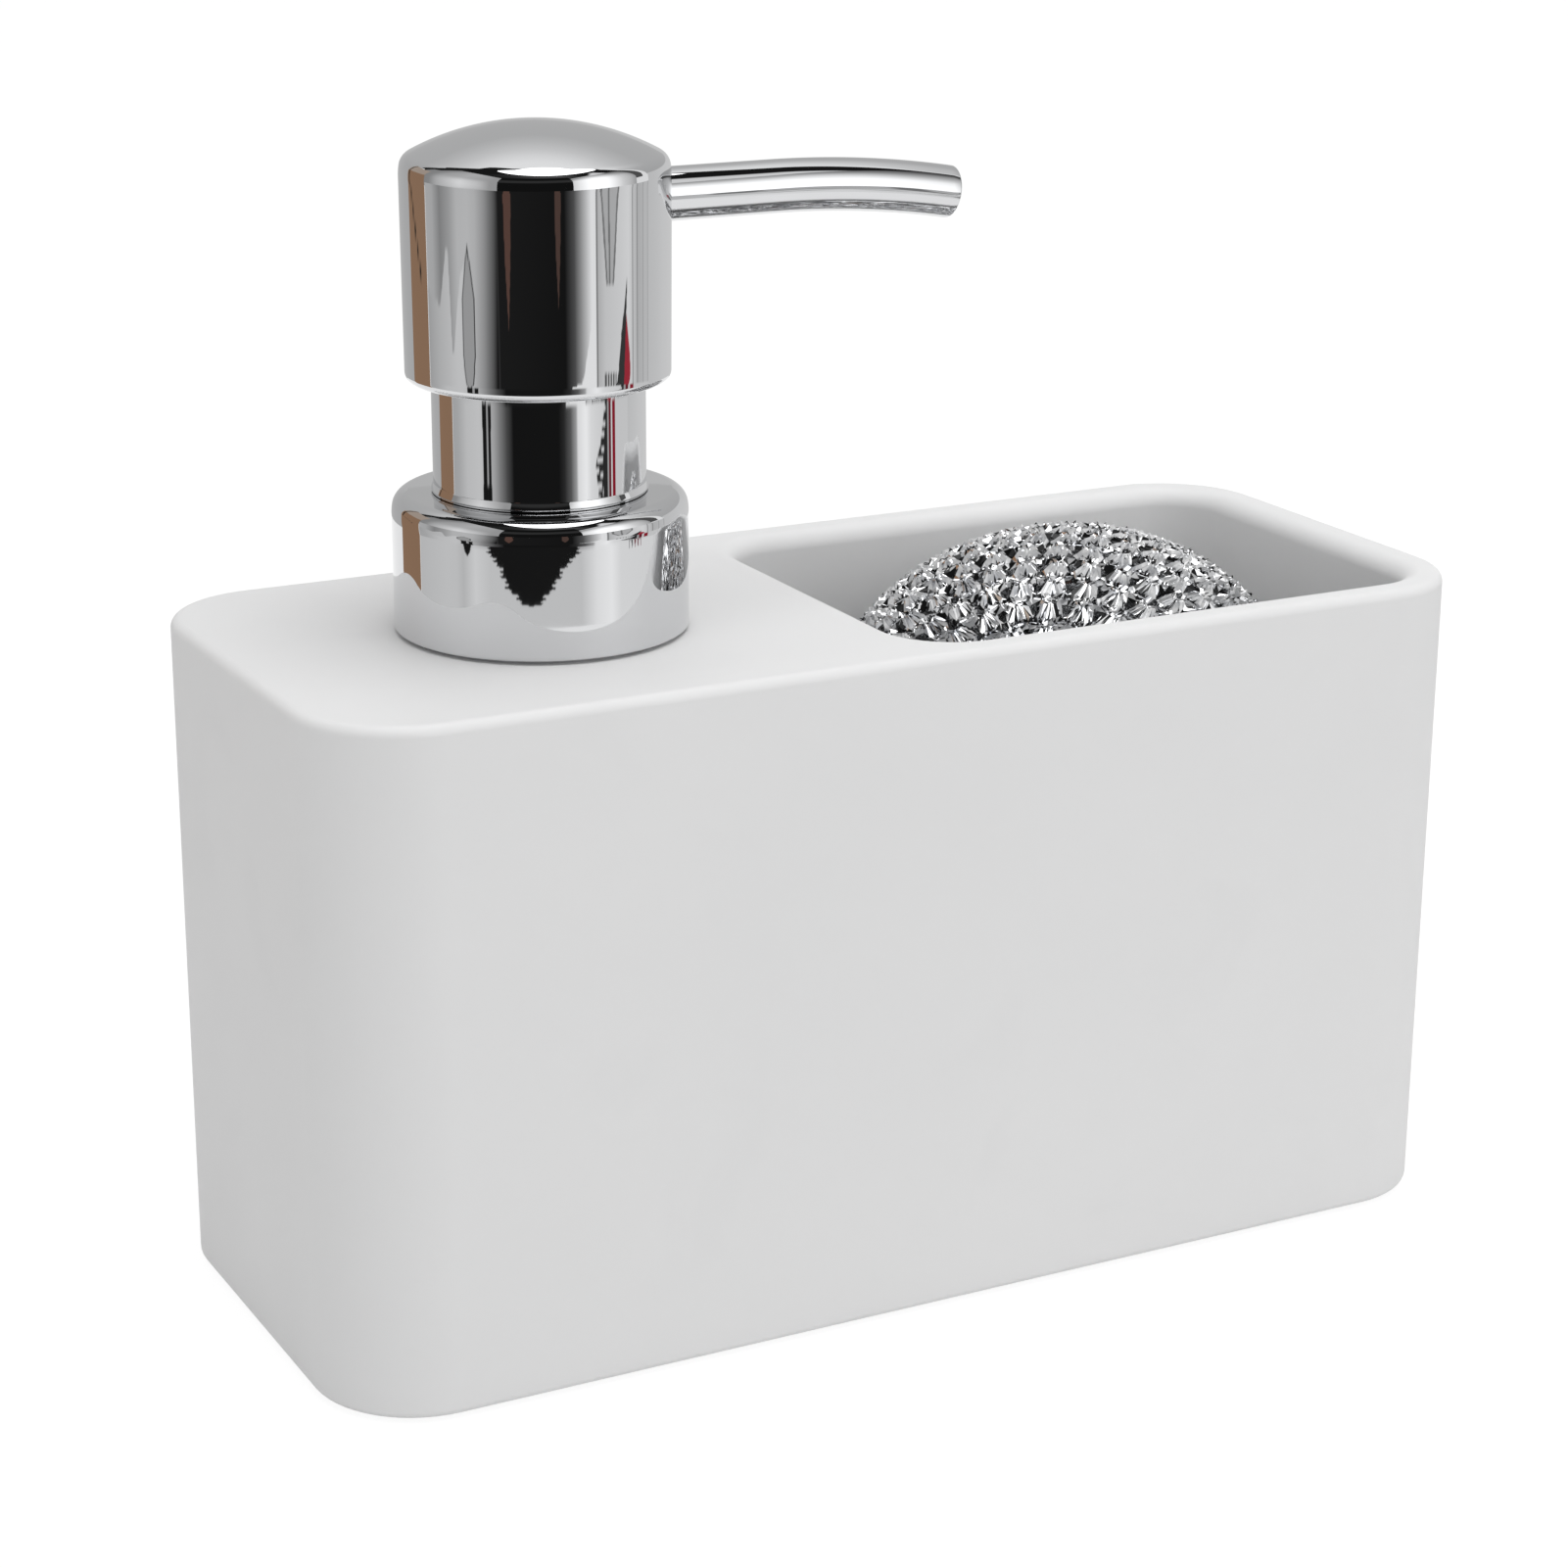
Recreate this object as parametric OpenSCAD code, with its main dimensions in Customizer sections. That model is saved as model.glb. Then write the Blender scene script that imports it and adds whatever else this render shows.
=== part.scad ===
// Soap pump caddy: a cast box with a soap reservoir, an open tray with a scourer in it,
// and a plated lotion pump that screws into the box.
// Millimetres. The origin is the middle of the foot, +Z is up, +X runs from the pump to
// the tray, and the front is towards -Y.

/* [Cast body] */
// Length of the body, pump end to tray end
body_l = 170; // [160:1:190]
// Depth of the body, front to back
body_w = 71.5; // [68:0.5:80]
// Height of the body's top over the surface that it stands on
body_h = 92.4; // [84:0.4:110]
// Radius of the four upright corners
corner_r = 14.5; // [12:0.5:18]
// Rounding of the outer top edge
top_edge_r = 1.4; // [0.8:0.1:2]
// Rounding of the outer bottom edge
bottom_edge_r = 1; // [0.5:0.1:1.6]
// Thickness of the cast walls, roof and tray floor
wall_t = 5.75; // [4.5:0.25:7]

/* [Tray] */
// Depth of the tray under the body's top
tray_depth = 52.5; // [40:0.5:60]
// Rounding of the tray's mouth
lip_r = 2.6; // [1.6:0.1:3]
// Rounding between the tray's floor and its walls
tray_floor_r = 6; // [3:0.5:8]

/* [Reservoir] */
// Length of the room that the pump hangs in, up to the tray's end wall
pump_room_l = 71.95; // [68:0.05:76]

/* [Foot] */
// Thickness of the plate that closes the reservoir
plate_t = 3; // [2:0.25:5]
// Width of the cast rim around the plate
plate_rim = 2.75; // [2:0.25:4]
// Thickness of the foam pad
pad_t = 0.6; // [0.4:0.1:2]
// Distance of the pad's edge from the body's outline
pad_inset = 4; // [3:0.5:8]

/* [Neck] */
// Distance of the pump's axis from the pump end of the body
pump_inset = 43; // [38:0.5:46]
// Outer radius of the neck that the closure screws on
neck_r = 13.6; // [13:0.1:14.4]
// Wall of the neck
neck_wall = 2; // [1.5:0.1:2.4]
// Radius of the bush where it is glued into the roof
bush_r = 15; // [14.8:0.1:16]
// Radius of the bush's flange on the roof
bush_flange_r = 18.2; // [17:0.1:18.4]
// Thickness of the bush's flange
bush_flange_t = 0.4; // [0.3:0.1:1]

/* [Collar] */
// Radius of the plated collar
collar_r = 19.3; // [18.8:0.1:21]
// Height of the plated collar
collar_h = 18; // [16:0.5:22]
// Wall of the plated collar
collar_t = 1.2; // [0.8:0.1:1.5]
// Rounding of the collar's shoulder
collar_edge_r = 2.1; // [1.5:0.1:2.6]
// Thickness of the closure's web that clamps the pump
web_t = 2.2; // [1.5:0.1:3]
// Wall of the closure's threaded skirt
nut_wall = 1.8; // [1.2:0.1:2.2]

/* [Sleeve] */
// Radius of the plated sleeve over the collar
sleeve_r = 13.8; // [13:0.1:14.6]
// Wall of the plated sleeve
sleeve_t = 1; // [0.8:0.1:1.2]
// Length of sleeve that shows between collar and head
sleeve_show = 14.6; // [12:0.2:15.4]
// Length of sleeve that stays inside the head at rest
sleeve_lap = 2.3; // [1.5:0.1:3]

/* [Head] */
// Radius of the head at its foot
head_r = 17.1; // [16.6:0.1:19]
// Growth of the head's radius from foot to shoulder
head_draft = 0.15; // [0:0.05:0.4]
// Height of the head from its foot to the top of the dome
head_h = 32.8; // [32:0.2:38]
// Height of the dome over the shoulder
dome_h = 5.8; // [4.5:0.1:6.4]
// Rounding of the shoulder under the dome
head_edge_r = 2; // [1.6:0.1:2.4]
// Wall of the plated head
head_t = 1.2; // [0.8:0.1:1.5]

/* [Spout] */
// Outer radius of the spout
spout_r = 3.5; // [3:0.1:3.8]
// Radius of the spout's bore
spout_bore_r = 2.4; // [1.6:0.1:2.6]
// Distance of the spout's tip from the pump's axis
spout_reach = 60.5; // [56:0.5:70]
// Depth of the spout's straight run under the head's shoulder
spout_drop = 4.7; // [4.4:0.1:5.4]
// Radius of the bend in which the spout droops
spout_bend_r = 150; // [110:5:170]
// Angle through which the spout droops, in degrees
spout_droop = 10.3; // [6:0.5:12]

/* [Pump inside] */
// Radius of the chamber's bore
bore_r = 7; // [6.6:0.1:7.2]
// Wall of the chamber
barrel_t = 1.2; // [1:0.1:1.4]
// Length of the chamber under the cap's spigot
chamber_l = 48; // [46:1:56]
// Travel kept free between the head and its stop
stroke_spare = 2; // [1.6:0.1:3]
// Outer radius of the stem
stem_r = 4; // [3.6:0.1:4.4]
// Radius of the stem's bore
stem_bore_r = 2.2; // [1.9:0.1:2.4]
// Length of the piston's seal
piston_l = 6.5; // [6:0.25:8]
// Radius of the spring's wire
wire_r = 0.45; // [0.35:0.05:0.5]
// Mean radius of the spring's coils
coil_r = 4.9; // [4.6:0.1:5.2]
// Turns of the spring
coil_turns = 9; // [7:1:11]
// Radius of the check ball
ball_r = 2.5; // [2.2:0.1:2.6]
// Lift of the check ball
ball_lift = 1.2; // [0.8:0.1:1.8]
// Outer radius of the dip tube
dip_r = 3.2; // [2.8:0.1:3.4]
// Wall of the dip tube
dip_wall = 0.9; // [0.6:0.1:1.1]
// Height of the dip tube's end over the reservoir's floor
dip_gap = 3; // [2:0.5:8]

/* [Scourer] */
// Height of the scourer's top over the body's top
scourer_proud = 3.8; // [1:0.2:8]
// Room between the scourer and the tray's end walls
scourer_end_gap = 4.9; // [3:0.1:8]
// Room between the scourer and the tray's long walls
scourer_side_gap = 0.8; // [0.5:0.1:2]

/* [Hidden] */
$fn = 72;

// Overrun of every cut past the surface that it opens
cut = 1;
// Gap between two pieces that are fixed together
fit_gap = 0.05;
// Gap all round a piece that turns or slides on another
run_gap = 0.05;
// Gap between flat faces that turn or rest on each other
seat_gap = 0.1;
// Gap between the crest of the neck's thread and the closure's skirt
thread_gap = 0.15;
// Gap under a soft piece that is only laid in place
rest_gap = 0.3;
// Steps in a quarter of a round edge, and in a quarter of a round corner
edge_steps = 6;
corner_steps = 9;

// Body and tray
inner_w = body_w - 2 * wall_t;
inner_l = body_l - 2 * wall_t;
inner_corner_r = corner_r - wall_t;
floor_r = min(tray_floor_r, inner_corner_r - fit_gap);
plate_z1 = pad_t + plate_t;
roof_z = body_h - wall_t;
tray_z = body_h - tray_depth;
tray_l = inner_l - pump_room_l - wall_t;
tray_x = inner_l / 2 - tray_l / 2;
pump_room_x = -inner_l / 2 + pump_room_l / 2;
pump_x = -body_l / 2 + pump_inset;

// Collar and closure
collar_z0 = body_h + bush_flange_t + seat_gap;
collar_z1 = collar_z0 + collar_h;
collar_inner_r = collar_r - collar_t;
collar_foot_r = 0.3;
web_z1 = collar_z1 - collar_t - fit_gap;
web_z0 = web_z1 - web_t;
nut_z0 = collar_z0 + collar_t / 2;
nut_bore_r = neck_r + thread_gap;
nut_r = nut_bore_r + nut_wall;
nut_rib_t = 1.2;
nut_ribs = 12;

// Housing, from its clamped flange down to the dip tube
barrel_r = bore_r + barrel_t;
tube_wall = 2.3;
tube_r = bore_r + tube_wall;
tube_rise = 5.5;
tube_z1 = collar_z1 + tube_rise;
flange_t = 1.6;
flange_z1 = web_z0 - seat_gap;
flange_z0 = flange_z1 - flange_t;
flange_r = neck_r - run_gap;
gasket_t = 1.2;
gasket_r = barrel_r + gasket_t;
neck_z1 = flange_z0 - gasket_t - fit_gap;
neck_bore_r = neck_r - neck_wall;
spigot_l = 6;
spigot_z0 = tube_z1 - spigot_l;
chamber_z0 = spigot_z0 - chamber_l;
chamber_floor_t = 2;
cone_h = 4;
nozzle_l = 10;
nozzle_wall = 1.3;
nozzle_z0 = chamber_z0 - nozzle_l;
nozzle_r = dip_r + fit_gap + nozzle_wall;
vent_r = 0.5;
vent_z = flange_z0 - vent_r - seat_gap;

// Cap on the housing, and the sleeve over it
sleeve_z0 = collar_z1 + seat_gap;
head_z0 = collar_z1 + sleeve_show;
sleeve_z1 = head_z0 + sleeve_lap;
sleeve_foot_t = 0.3;
sleeve_foot_h = 1.2;
sleeve_edge_r = 0.6;
cap_r = sleeve_r - sleeve_t - fit_gap;
cap_wall = 1.2;
cap_web_z0 = tube_z1 + fit_gap;
cap_web_t = 2;
cap_z1 = sleeve_z1 - sleeve_t - fit_gap;
guide_r = 6.5;

// Check ball, its seat and its cage, with the holes as shares of the ball
seat_share = 0.76;
cage_hole_share = 0.72;
seat_r = seat_share * ball_r;
ball_z = chamber_z0 + sqrt(pow(ball_r, 2) - pow(seat_r, 2)) + seat_gap;
ball_side_gap = 0.8;
cage_room_r = ball_r + ball_side_gap;
cage_hole_r = cage_hole_share * ball_r;
cage_top_t = 1.2;
cage_roof_z = ball_z + ball_r + ball_lift + seat_gap;
cage_z1 = cage_roof_z + cage_top_t;

// Plunger: seal, rod, stem and spring
stroke = sleeve_show - stroke_spare;
piston_z1 = spigot_z0 - seat_gap;
piston_z0 = piston_z1 - piston_l;
piston_lip = 1.5;
piston_waist = 0.8;
piston_low_l = 3.5;
stem_z0 = piston_z0 + piston_low_l + seat_gap;
rod_r = 3;
rod_bore_r = 1.1;
rod_plug_l = 7;
rod_flange_r = 6;
rod_flange_t = 2;
rod_flange_z1 = piston_z0 - seat_gap;
rod_flange_z0 = rod_flange_z1 - rod_flange_t;
rod_nose_gap = 0.5;
rod_nose_r = coil_r - wire_r - rod_nose_gap;
rod_nose_edge = 1.2;
rod_nose_l = 3.2;
rod_nose_z0 = rod_flange_z0 - rod_nose_l;
rod_port_r = 0.9;
rod_port_z = rod_flange_z1 + rod_port_r + seat_gap;
spring_z0 = cage_z1 + seat_gap;
spring_z1 = rod_flange_z0 - seat_gap;
coil_end_gap = 0.5;
coil_steps = 16;
wire_sides = 6;

// Soft start of a shoulder: first a wide arc through a small angle, then the tight one
soft_share = 4;
soft_turn = 10;
soft_inset = soft_share - (soft_share - 1) * cos(soft_turn);

// Head, its insert and the spout
head_z1 = head_z0 + head_h;
head_top_r = head_r + head_draft;
head_foot_share = 0.9;
head_foot_r = head_foot_share * head_t;
shoulder_z = head_z1 - dome_h;
shoulder_x = head_top_r - soft_inset * head_edge_r;
dome_r = (pow(shoulder_x, 2) + pow(dome_h, 2) - pow(head_edge_r, 2)) / (2 * (dome_h - head_edge_r));
dome_z = head_z1 - dome_r;
dome_angle = atan2(shoulder_x, dome_r - dome_h);
spout_z = shoulder_z - spout_drop;
spout_stop = 1.5;
spout_x0 = stem_r + spout_stop;
spout_sides = 24;
bend_steps = 6;
spout_bend_x = spout_reach - spout_bend_r * sin(spout_droop);
insert_gap = 1;
insert_z0 = sleeve_z1 + stroke + insert_gap;
insert_z1 = shoulder_z - rest_gap;
insert_r = head_r - head_t - fit_gap;
insert_disc_t = 1.4;
insert_ribs = 6;
insert_rib_t = 1.2;
hub_r = 7.5;
spout_boss_wall = 0.7;
stem_stop = 1;
stem_z1 = spout_z - spout_bore_r - stem_stop;

// Dip tube and scourer
dip_z0 = plate_z1 + dip_gap;
dip_z1 = chamber_z0 - chamber_floor_t - fit_gap;
scourer_l = tray_l - 2 * scourer_end_gap;
scourer_w = inner_w - 2 * scourer_side_gap;
scourer_h = tray_depth + scourer_proud - rest_gap;
scourer_z = tray_z + rest_gap + scourer_h / 2;

// Points along an arc about (x, y), from one angle to another
function arc(x, y, r, from, to, steps = edge_steps) =
  [for (i = [0:steps]) let (a = from + (to - from) * i / steps) [x + r * cos(a), y + r * sin(a)]];

// The same points in the other order
function back(points) = [for (i = [len(points) - 1:-1:0]) points[i]];

// Soft shoulder at the end of a wall of radius x; the tight arc has its centre at height z, and
// the outline lies t inside the shoulder
function soft_edge(x, z, r, to, t = 0) =
  concat(
    arc(x - soft_share * r, z - (soft_share - 1) * r * sin(soft_turn), soft_share * r - t, 0, soft_turn),
    arc(x - soft_inset * r, z, r - t, soft_turn, to)
  );

// Outline of a rectangle with round corners
function outline(l, w, r) =
  let (x = l / 2 - r, y = w / 2 - r)
  concat(
    arc(x, y, r, 0, 90, corner_steps), arc(-x, y, r, 90, 180, corner_steps),
    arc(-x, -y, r, 180, 270, corner_steps), arc(x, -y, r, 270, 360, corner_steps)
  );

// Upright block with round corners
module block(l, w, r, z0, z1) {
  translate([0, 0, z0]) linear_extrude(z1 - z0) polygon(outline(l, w, r));
}

// Block whose outline steps in or out as it rises: each step is [inset, height]
module stepped_block(l, w, r, steps) {
  rings = [for (s = steps) outline(l - 2 * s[0], w - 2 * s[0], r - s[0])];
  n = len(rings[0]);
  m = len(steps);
  points = [for (k = [0:m - 1], p = rings[k]) [p[0], p[1], steps[k][1]]];
  sides = [
    for (k = [0:m - 2], i = [0:n - 1])
      let (j = (i + 1) % n, low = k * n, high = low + n)
      each [[low + i, high + i, high + j], [low + i, high + j, low + j]]
  ];
  ends = [[for (i = [0:n - 1]) i], [for (i = [n - 1:-1:0]) (m - 1) * n + i]];
  polyhedron(points, concat(ends, sides));
}

// Steps of a rounded foot and a rounded top for stepped_block
function foot_steps(r, z) = [for (p = arc(r, z + r, r, 270, 180)) p];
function top_steps(r, z) = [for (p = arc(r, z - r, r, 180, 90)) p];

// A turned piece about the pump's axis, from its [radius, height] outline
module turned(points) {
  translate([pump_x, 0, 0]) rotate_extrude() polygon(points);
}

// An upright cylinder about the pump's axis
module pin(r, z0, z1) {
  translate([pump_x, 0, z0]) cylinder(r = r, h = z1 - z0);
}

// A level cylinder from the pump's axis towards +X
module level_pin(r, x0, x1, z) {
  translate([pump_x + x0, 0, z]) rotate([0, 90, 0]) cylinder(r = r, h = x1 - x0);
}

module caddy_body() {
  lip_steps = [for (p = arc(-lip_r, body_h - lip_r, lip_r, 0, 90)) p];
  color("white") difference() {
    stepped_block(body_l, body_w, corner_r,
      concat(foot_steps(bottom_edge_r, pad_t), top_steps(top_edge_r, body_h)));
    translate([tray_x, 0, 0])
      stepped_block(tray_l, inner_w, inner_corner_r,
        concat(foot_steps(floor_r, tray_z), lip_steps, [[-lip_r, body_h + cut]]));
    block(inner_l, inner_w, inner_corner_r, plate_z1 - cut, tray_z - wall_t);
    translate([pump_room_x, 0, 0]) block(pump_room_l, inner_w, inner_corner_r, plate_z1 - cut, roof_z);
    block(body_l - 2 * plate_rim, body_w - 2 * plate_rim, corner_r - plate_rim, pad_t - cut, plate_z1);
    pin(bush_r + fit_gap, roof_z - cut, body_h + cut);
  }
}

module base_plate() {
  inset = plate_rim + fit_gap;
  color("gainsboro") block(body_l - 2 * inset, body_w - 2 * inset, corner_r - inset, pad_t, plate_z1);
}

module base_pad() {
  color("dimgray") block(body_l - 2 * pad_inset, body_w - 2 * pad_inset, corner_r - pad_inset, 0, pad_t);
}

module neck_bush() {
  flange_top = body_h + bush_flange_t;
  color("lightgray") turned([
    [neck_bore_r, roof_z], [bush_r, roof_z], [bush_r, body_h], [bush_flange_r, body_h],
    [bush_flange_r, flange_top], [neck_r, flange_top], [neck_r, neck_z1], [neck_bore_r, neck_z1]
  ]);
}

module collar_shell() {
  hole_r = tube_r + thread_gap;
  color("silver") turned(concat(
    [[collar_inner_r, collar_z0]],
    arc(collar_r - collar_foot_r, collar_z0 + collar_foot_r, collar_foot_r, -90, 0),
    soft_edge(collar_r, collar_z1 - collar_edge_r, collar_edge_r, 90),
    [[hole_r, collar_z1], [hole_r, collar_z1 - collar_t], [collar_inner_r, collar_z1 - collar_t]]
  ));
}

module closure_nut() {
  color("whitesmoke") {
    turned([
      [nut_bore_r, nut_z0], [nut_r, nut_z0], [nut_r, web_z1],
      [tube_r + run_gap, web_z1], [tube_r + run_gap, web_z0], [nut_bore_r, web_z0]
    ]);
    translate([pump_x, 0, nut_z0])
      for (i = [0:nut_ribs - 1])
        rotate(360 * i / nut_ribs) translate([nut_r - nut_wall / 2, -nut_rib_t / 2, 0])
          cube([collar_inner_r - fit_gap - nut_r + nut_wall / 2, nut_rib_t, web_z0 - nut_z0]);
  }
}

module pump_housing() {
  color("whitesmoke") difference() {
    turned([
      [bore_r, tube_z1], [tube_r, tube_z1], [tube_r, flange_z1], [flange_r, flange_z1],
      [flange_r, flange_z0], [barrel_r, flange_z0], [barrel_r, chamber_z0 - chamber_floor_t + cone_h],
      [nozzle_r, chamber_z0 - chamber_floor_t], [nozzle_r, nozzle_z0],
      [dip_r + fit_gap, nozzle_z0], [dip_r + fit_gap, chamber_z0 - chamber_floor_t],
      [seat_r, chamber_z0 - chamber_floor_t], [seat_r, chamber_z0], [bore_r, chamber_z0]
    ]);
    level_pin(vent_r, 0, barrel_r + cut, vent_z);
  }
}

module neck_gasket() {
  color("gray") turned([
    [gasket_r, neck_z1 + fit_gap], [flange_r, neck_z1 + fit_gap], [flange_r, flange_z0], [gasket_r, flange_z0]
  ]);
}

module housing_cap() {
  web_z = cap_web_z0 + cap_web_t;
  color("whitesmoke") turned([
    [stem_r + run_gap, spigot_z0], [bore_r - fit_gap, spigot_z0], [bore_r - fit_gap, cap_web_z0],
    [tube_r + fit_gap, cap_web_z0], [tube_r + fit_gap, sleeve_z0], [cap_r, sleeve_z0], [cap_r, cap_z1],
    [cap_r - cap_wall, cap_z1], [cap_r - cap_wall, web_z], [guide_r, web_z], [guide_r, sleeve_z1],
    [stem_r + run_gap, sleeve_z1]
  ]);
}

module sleeve() {
  color("silver") turned(concat(
    [[sleeve_r - sleeve_t, sleeve_z0], [sleeve_r + sleeve_foot_t, sleeve_z0],
      [sleeve_r + sleeve_foot_t, sleeve_z0 + sleeve_foot_h / 2], [sleeve_r, sleeve_z0 + sleeve_foot_h]],
    arc(sleeve_r - sleeve_edge_r, sleeve_z1 - sleeve_edge_r, sleeve_edge_r, 0, 90),
    [[guide_r + fit_gap, sleeve_z1], [guide_r + fit_gap, sleeve_z1 - sleeve_t],
      [sleeve_r - sleeve_t, sleeve_z1 - sleeve_t]]
  ));
}

module ball_cage() {
  color("whitesmoke") turned([
    [cage_room_r, chamber_z0], [bore_r - fit_gap, chamber_z0], [bore_r - fit_gap, cage_z1],
    [cage_hole_r, cage_z1], [cage_hole_r, cage_roof_z], [cage_room_r, cage_roof_z]
  ]);
}

module dip_tube() {
  color("lightcyan") turned([
    [dip_r - dip_wall, dip_z0], [dip_r, dip_z0], [dip_r, dip_z1], [dip_r - dip_wall, dip_z1]
  ]);
}

module piston_seal() {
  lip_x = bore_r - run_gap;
  waist_x = lip_x - piston_waist;
  step_z = piston_z0 + piston_low_l;
  color("gold") turned([
    [rod_r + run_gap, piston_z0], [lip_x, piston_z0], [lip_x, piston_z0 + piston_lip],
    [waist_x, piston_z0 + piston_lip + piston_waist], [waist_x, piston_z1 - piston_lip - piston_waist],
    [lip_x, piston_z1 - piston_lip], [lip_x, piston_z1], [stem_r + run_gap, piston_z1],
    [stem_r + run_gap, step_z], [rod_r + run_gap, step_z]
  ]);
}

// Height of the spring's wire after a number of turns: the end turns are nearly closed
function coil_z(u) =
  let (
    low = spring_z0 + wire_r, high = spring_z1 - wire_r, end_pitch = 2 * wire_r + coil_end_gap,
    pitch = (high - low - 2 * end_pitch) / (coil_turns - 2)
  )
  u < 1 ? low + u * end_pitch
  : u > coil_turns - 1 ? high - (coil_turns - u) * end_pitch
  : low + end_pitch + (u - 1) * pitch;

module spring() {
  count = coil_turns * coil_steps;
  points = [
    for (k = [0:count], j = [0:wire_sides - 1])
      let (t = 360 * k / coil_steps, a = 360 * j / wire_sides, r = coil_r + wire_r * cos(a))
      [r * cos(t), r * sin(t), coil_z(k / coil_steps) + wire_r * sin(a)]
  ];
  sides = [
    for (k = [0:count - 1], j = [0:wire_sides - 1])
      let (i = (j + 1) % wire_sides, near = k * wire_sides, far = near + wire_sides)
      each [[near + j, near + i, far + i], [near + j, far + i, far + j]]
  ];
  ends = [[for (j = [wire_sides - 1:-1:0]) j], [for (j = [0:wire_sides - 1]) count * wire_sides + j]];
  echo(least_coil_gap = min([for (k = [0:count - coil_steps])
    coil_z(k / coil_steps + 1) - coil_z(k / coil_steps)]) - 2 * wire_r);
  color("lightsteelblue") translate([pump_x, 0, 0]) polyhedron(points, concat(ends, sides));
}

module stem() {
  color("whitesmoke") turned([
    [stem_bore_r, stem_z0], [stem_r, stem_z0], [stem_r, stem_z1], [stem_bore_r, stem_z1]
  ]);
}

module piston_rod() {
  plug_r = stem_bore_r - fit_gap;
  plug_z0 = stem_z0 - fit_gap;
  color("ivory") difference() {
    turned([
      [0, rod_nose_z0], [rod_nose_r - rod_nose_edge, rod_nose_z0],
      [rod_nose_r, rod_nose_z0 + rod_nose_edge], [rod_nose_r, rod_flange_z0],
      [rod_flange_r, rod_flange_z0], [rod_flange_r, rod_flange_z1], [rod_r, rod_flange_z1],
      [rod_r, plug_z0], [plug_r, plug_z0], [plug_r, plug_z0 + rod_plug_l], [0, plug_z0 + rod_plug_l]
    ]);
    pin(rod_bore_r, rod_port_z, plug_z0 + rod_plug_l + cut);
    level_pin(rod_port_r, -rod_r - cut, rod_r + cut, rod_port_z);
  }
}

module head_insert() {
  boss_r = spout_r + fit_gap + spout_boss_wall;
  color("whitesmoke") difference() {
    union() {
      pin(hub_r, insert_z0, insert_z1);
      pin(insert_r, insert_z1 - insert_disc_t, insert_z1);
      level_pin(boss_r, 0, insert_r - head_t, spout_z);
      translate([pump_x, 0, insert_z0])
        for (i = [0:insert_ribs - 1])
          rotate(360 * (i + 1 / 2) / insert_ribs) translate([hub_r / 2, -insert_rib_t / 2, 0])
            cube([insert_r - hub_r / 2 - fit_gap, insert_rib_t, insert_z1 - insert_z0]);
    }
    pin(stem_r + fit_gap, insert_z0 - cut, stem_z1 + fit_gap);
    pin(stem_bore_r, insert_z0, spout_z);
    level_pin(spout_bore_r, 0, insert_r, spout_z);
    level_pin(spout_r + fit_gap, spout_x0 - fit_gap, insert_r + cut, spout_z);
  }
}

module head_shell() {
  color("silver") difference() {
    turned(concat(
      [[head_r - head_t, head_z0]],
      arc(head_r - head_foot_r, head_z0 + head_foot_r, head_foot_r, -90, 0),
      soft_edge(head_top_r, shoulder_z, head_edge_r, 90 - dome_angle),
      arc(0, dome_z, dome_r, 90 - dome_angle, 90, 2 * edge_steps),
      arc(0, dome_z, dome_r - head_t, 90, 90 - dome_angle, 2 * edge_steps),
      back(soft_edge(head_top_r, shoulder_z, head_edge_r, 90 - dome_angle, head_t))
    ));
    level_pin(spout_r + fit_gap, stem_r, head_top_r + cut, spout_z);
  }
}

// Ring of points about the spout's middle line, square to it where it points down by a
function spout_ring(r, x, z, a) = [
  for (i = [0:spout_sides - 1])
    let (b = 360 * i / spout_sides)
    [x + r * sin(b) * sin(a), r * cos(b), z + r * sin(b) * cos(a)]
];

// One drawn tube: a level run, then a bend that droops
module spout() {
  line = concat(
    [[spout_x0, spout_z, 0]],
    [for (i = [0:bend_steps]) let (a = spout_droop * i / bend_steps)
      [spout_bend_x + spout_bend_r * sin(a), spout_z - spout_bend_r * (1 - cos(a)), a]]
  );
  points = [for (p = line, r = [spout_r, spout_bore_r]) each spout_ring(r, p[0], p[1], p[2])];
  n = spout_sides;
  m = len(line) - 1;
  sides = [
    for (k = [0:m - 1], i = [0:n - 1])
      let (j = (i + 1) % n, near = 2 * k * n, far = near + 2 * n)
      each [
        [near + i, far + i, far + j], [near + i, far + j, near + j],
        [near + n + j, far + n + j, far + n + i], [near + n + j, far + n + i, near + n + i]
      ]
  ];
  ends = [
    for (i = [0:n - 1])
      let (j = (i + 1) % n, last = 2 * m * n)
      each [[i, j, n + j, n + i], [last + j, last + i, last + n + i, last + n + j]]
  ];
  color("silver") translate([pump_x, 0, 0]) polyhedron(points, concat(sides, ends));
}

module check_ball() {
  color("dimgray") translate([pump_x, 0, ball_z]) sphere(ball_r);
}

module scourer() {
  color("slategray") translate([tray_x, 0, scourer_z])
    scale([scourer_l / 2, scourer_w / 2, scourer_h / 2]) sphere(1, $fn = 40);
}

caddy_body();
base_plate();
base_pad();
neck_bush();
collar_shell();
closure_nut();
pump_housing();
neck_gasket();
housing_cap();
sleeve();
ball_cage();
dip_tube();
piston_seal();
spring();
stem();
piston_rod();
head_insert();
head_shell();
spout();
check_ball();
scourer();
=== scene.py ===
# %% [markdown]
# # Dressing a soap pump caddy
# The caddy comes packed from CAD as plain solids. They say how big each part is, where it sits
# and how it moves. Blender adds what the eye asks for: smooth rounded edges, cast, plated and
# moulded finishes, the glittering scourer, and a small studio to look at it in.
#
# The first cell loads the solids. Each one sits at the origin with its place in its mesh, so a
# new piece only has to be made in the same coordinates to fit.

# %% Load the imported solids
import math
import random

import bmesh
import bpy
from mathutils import Matrix, Vector


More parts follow.
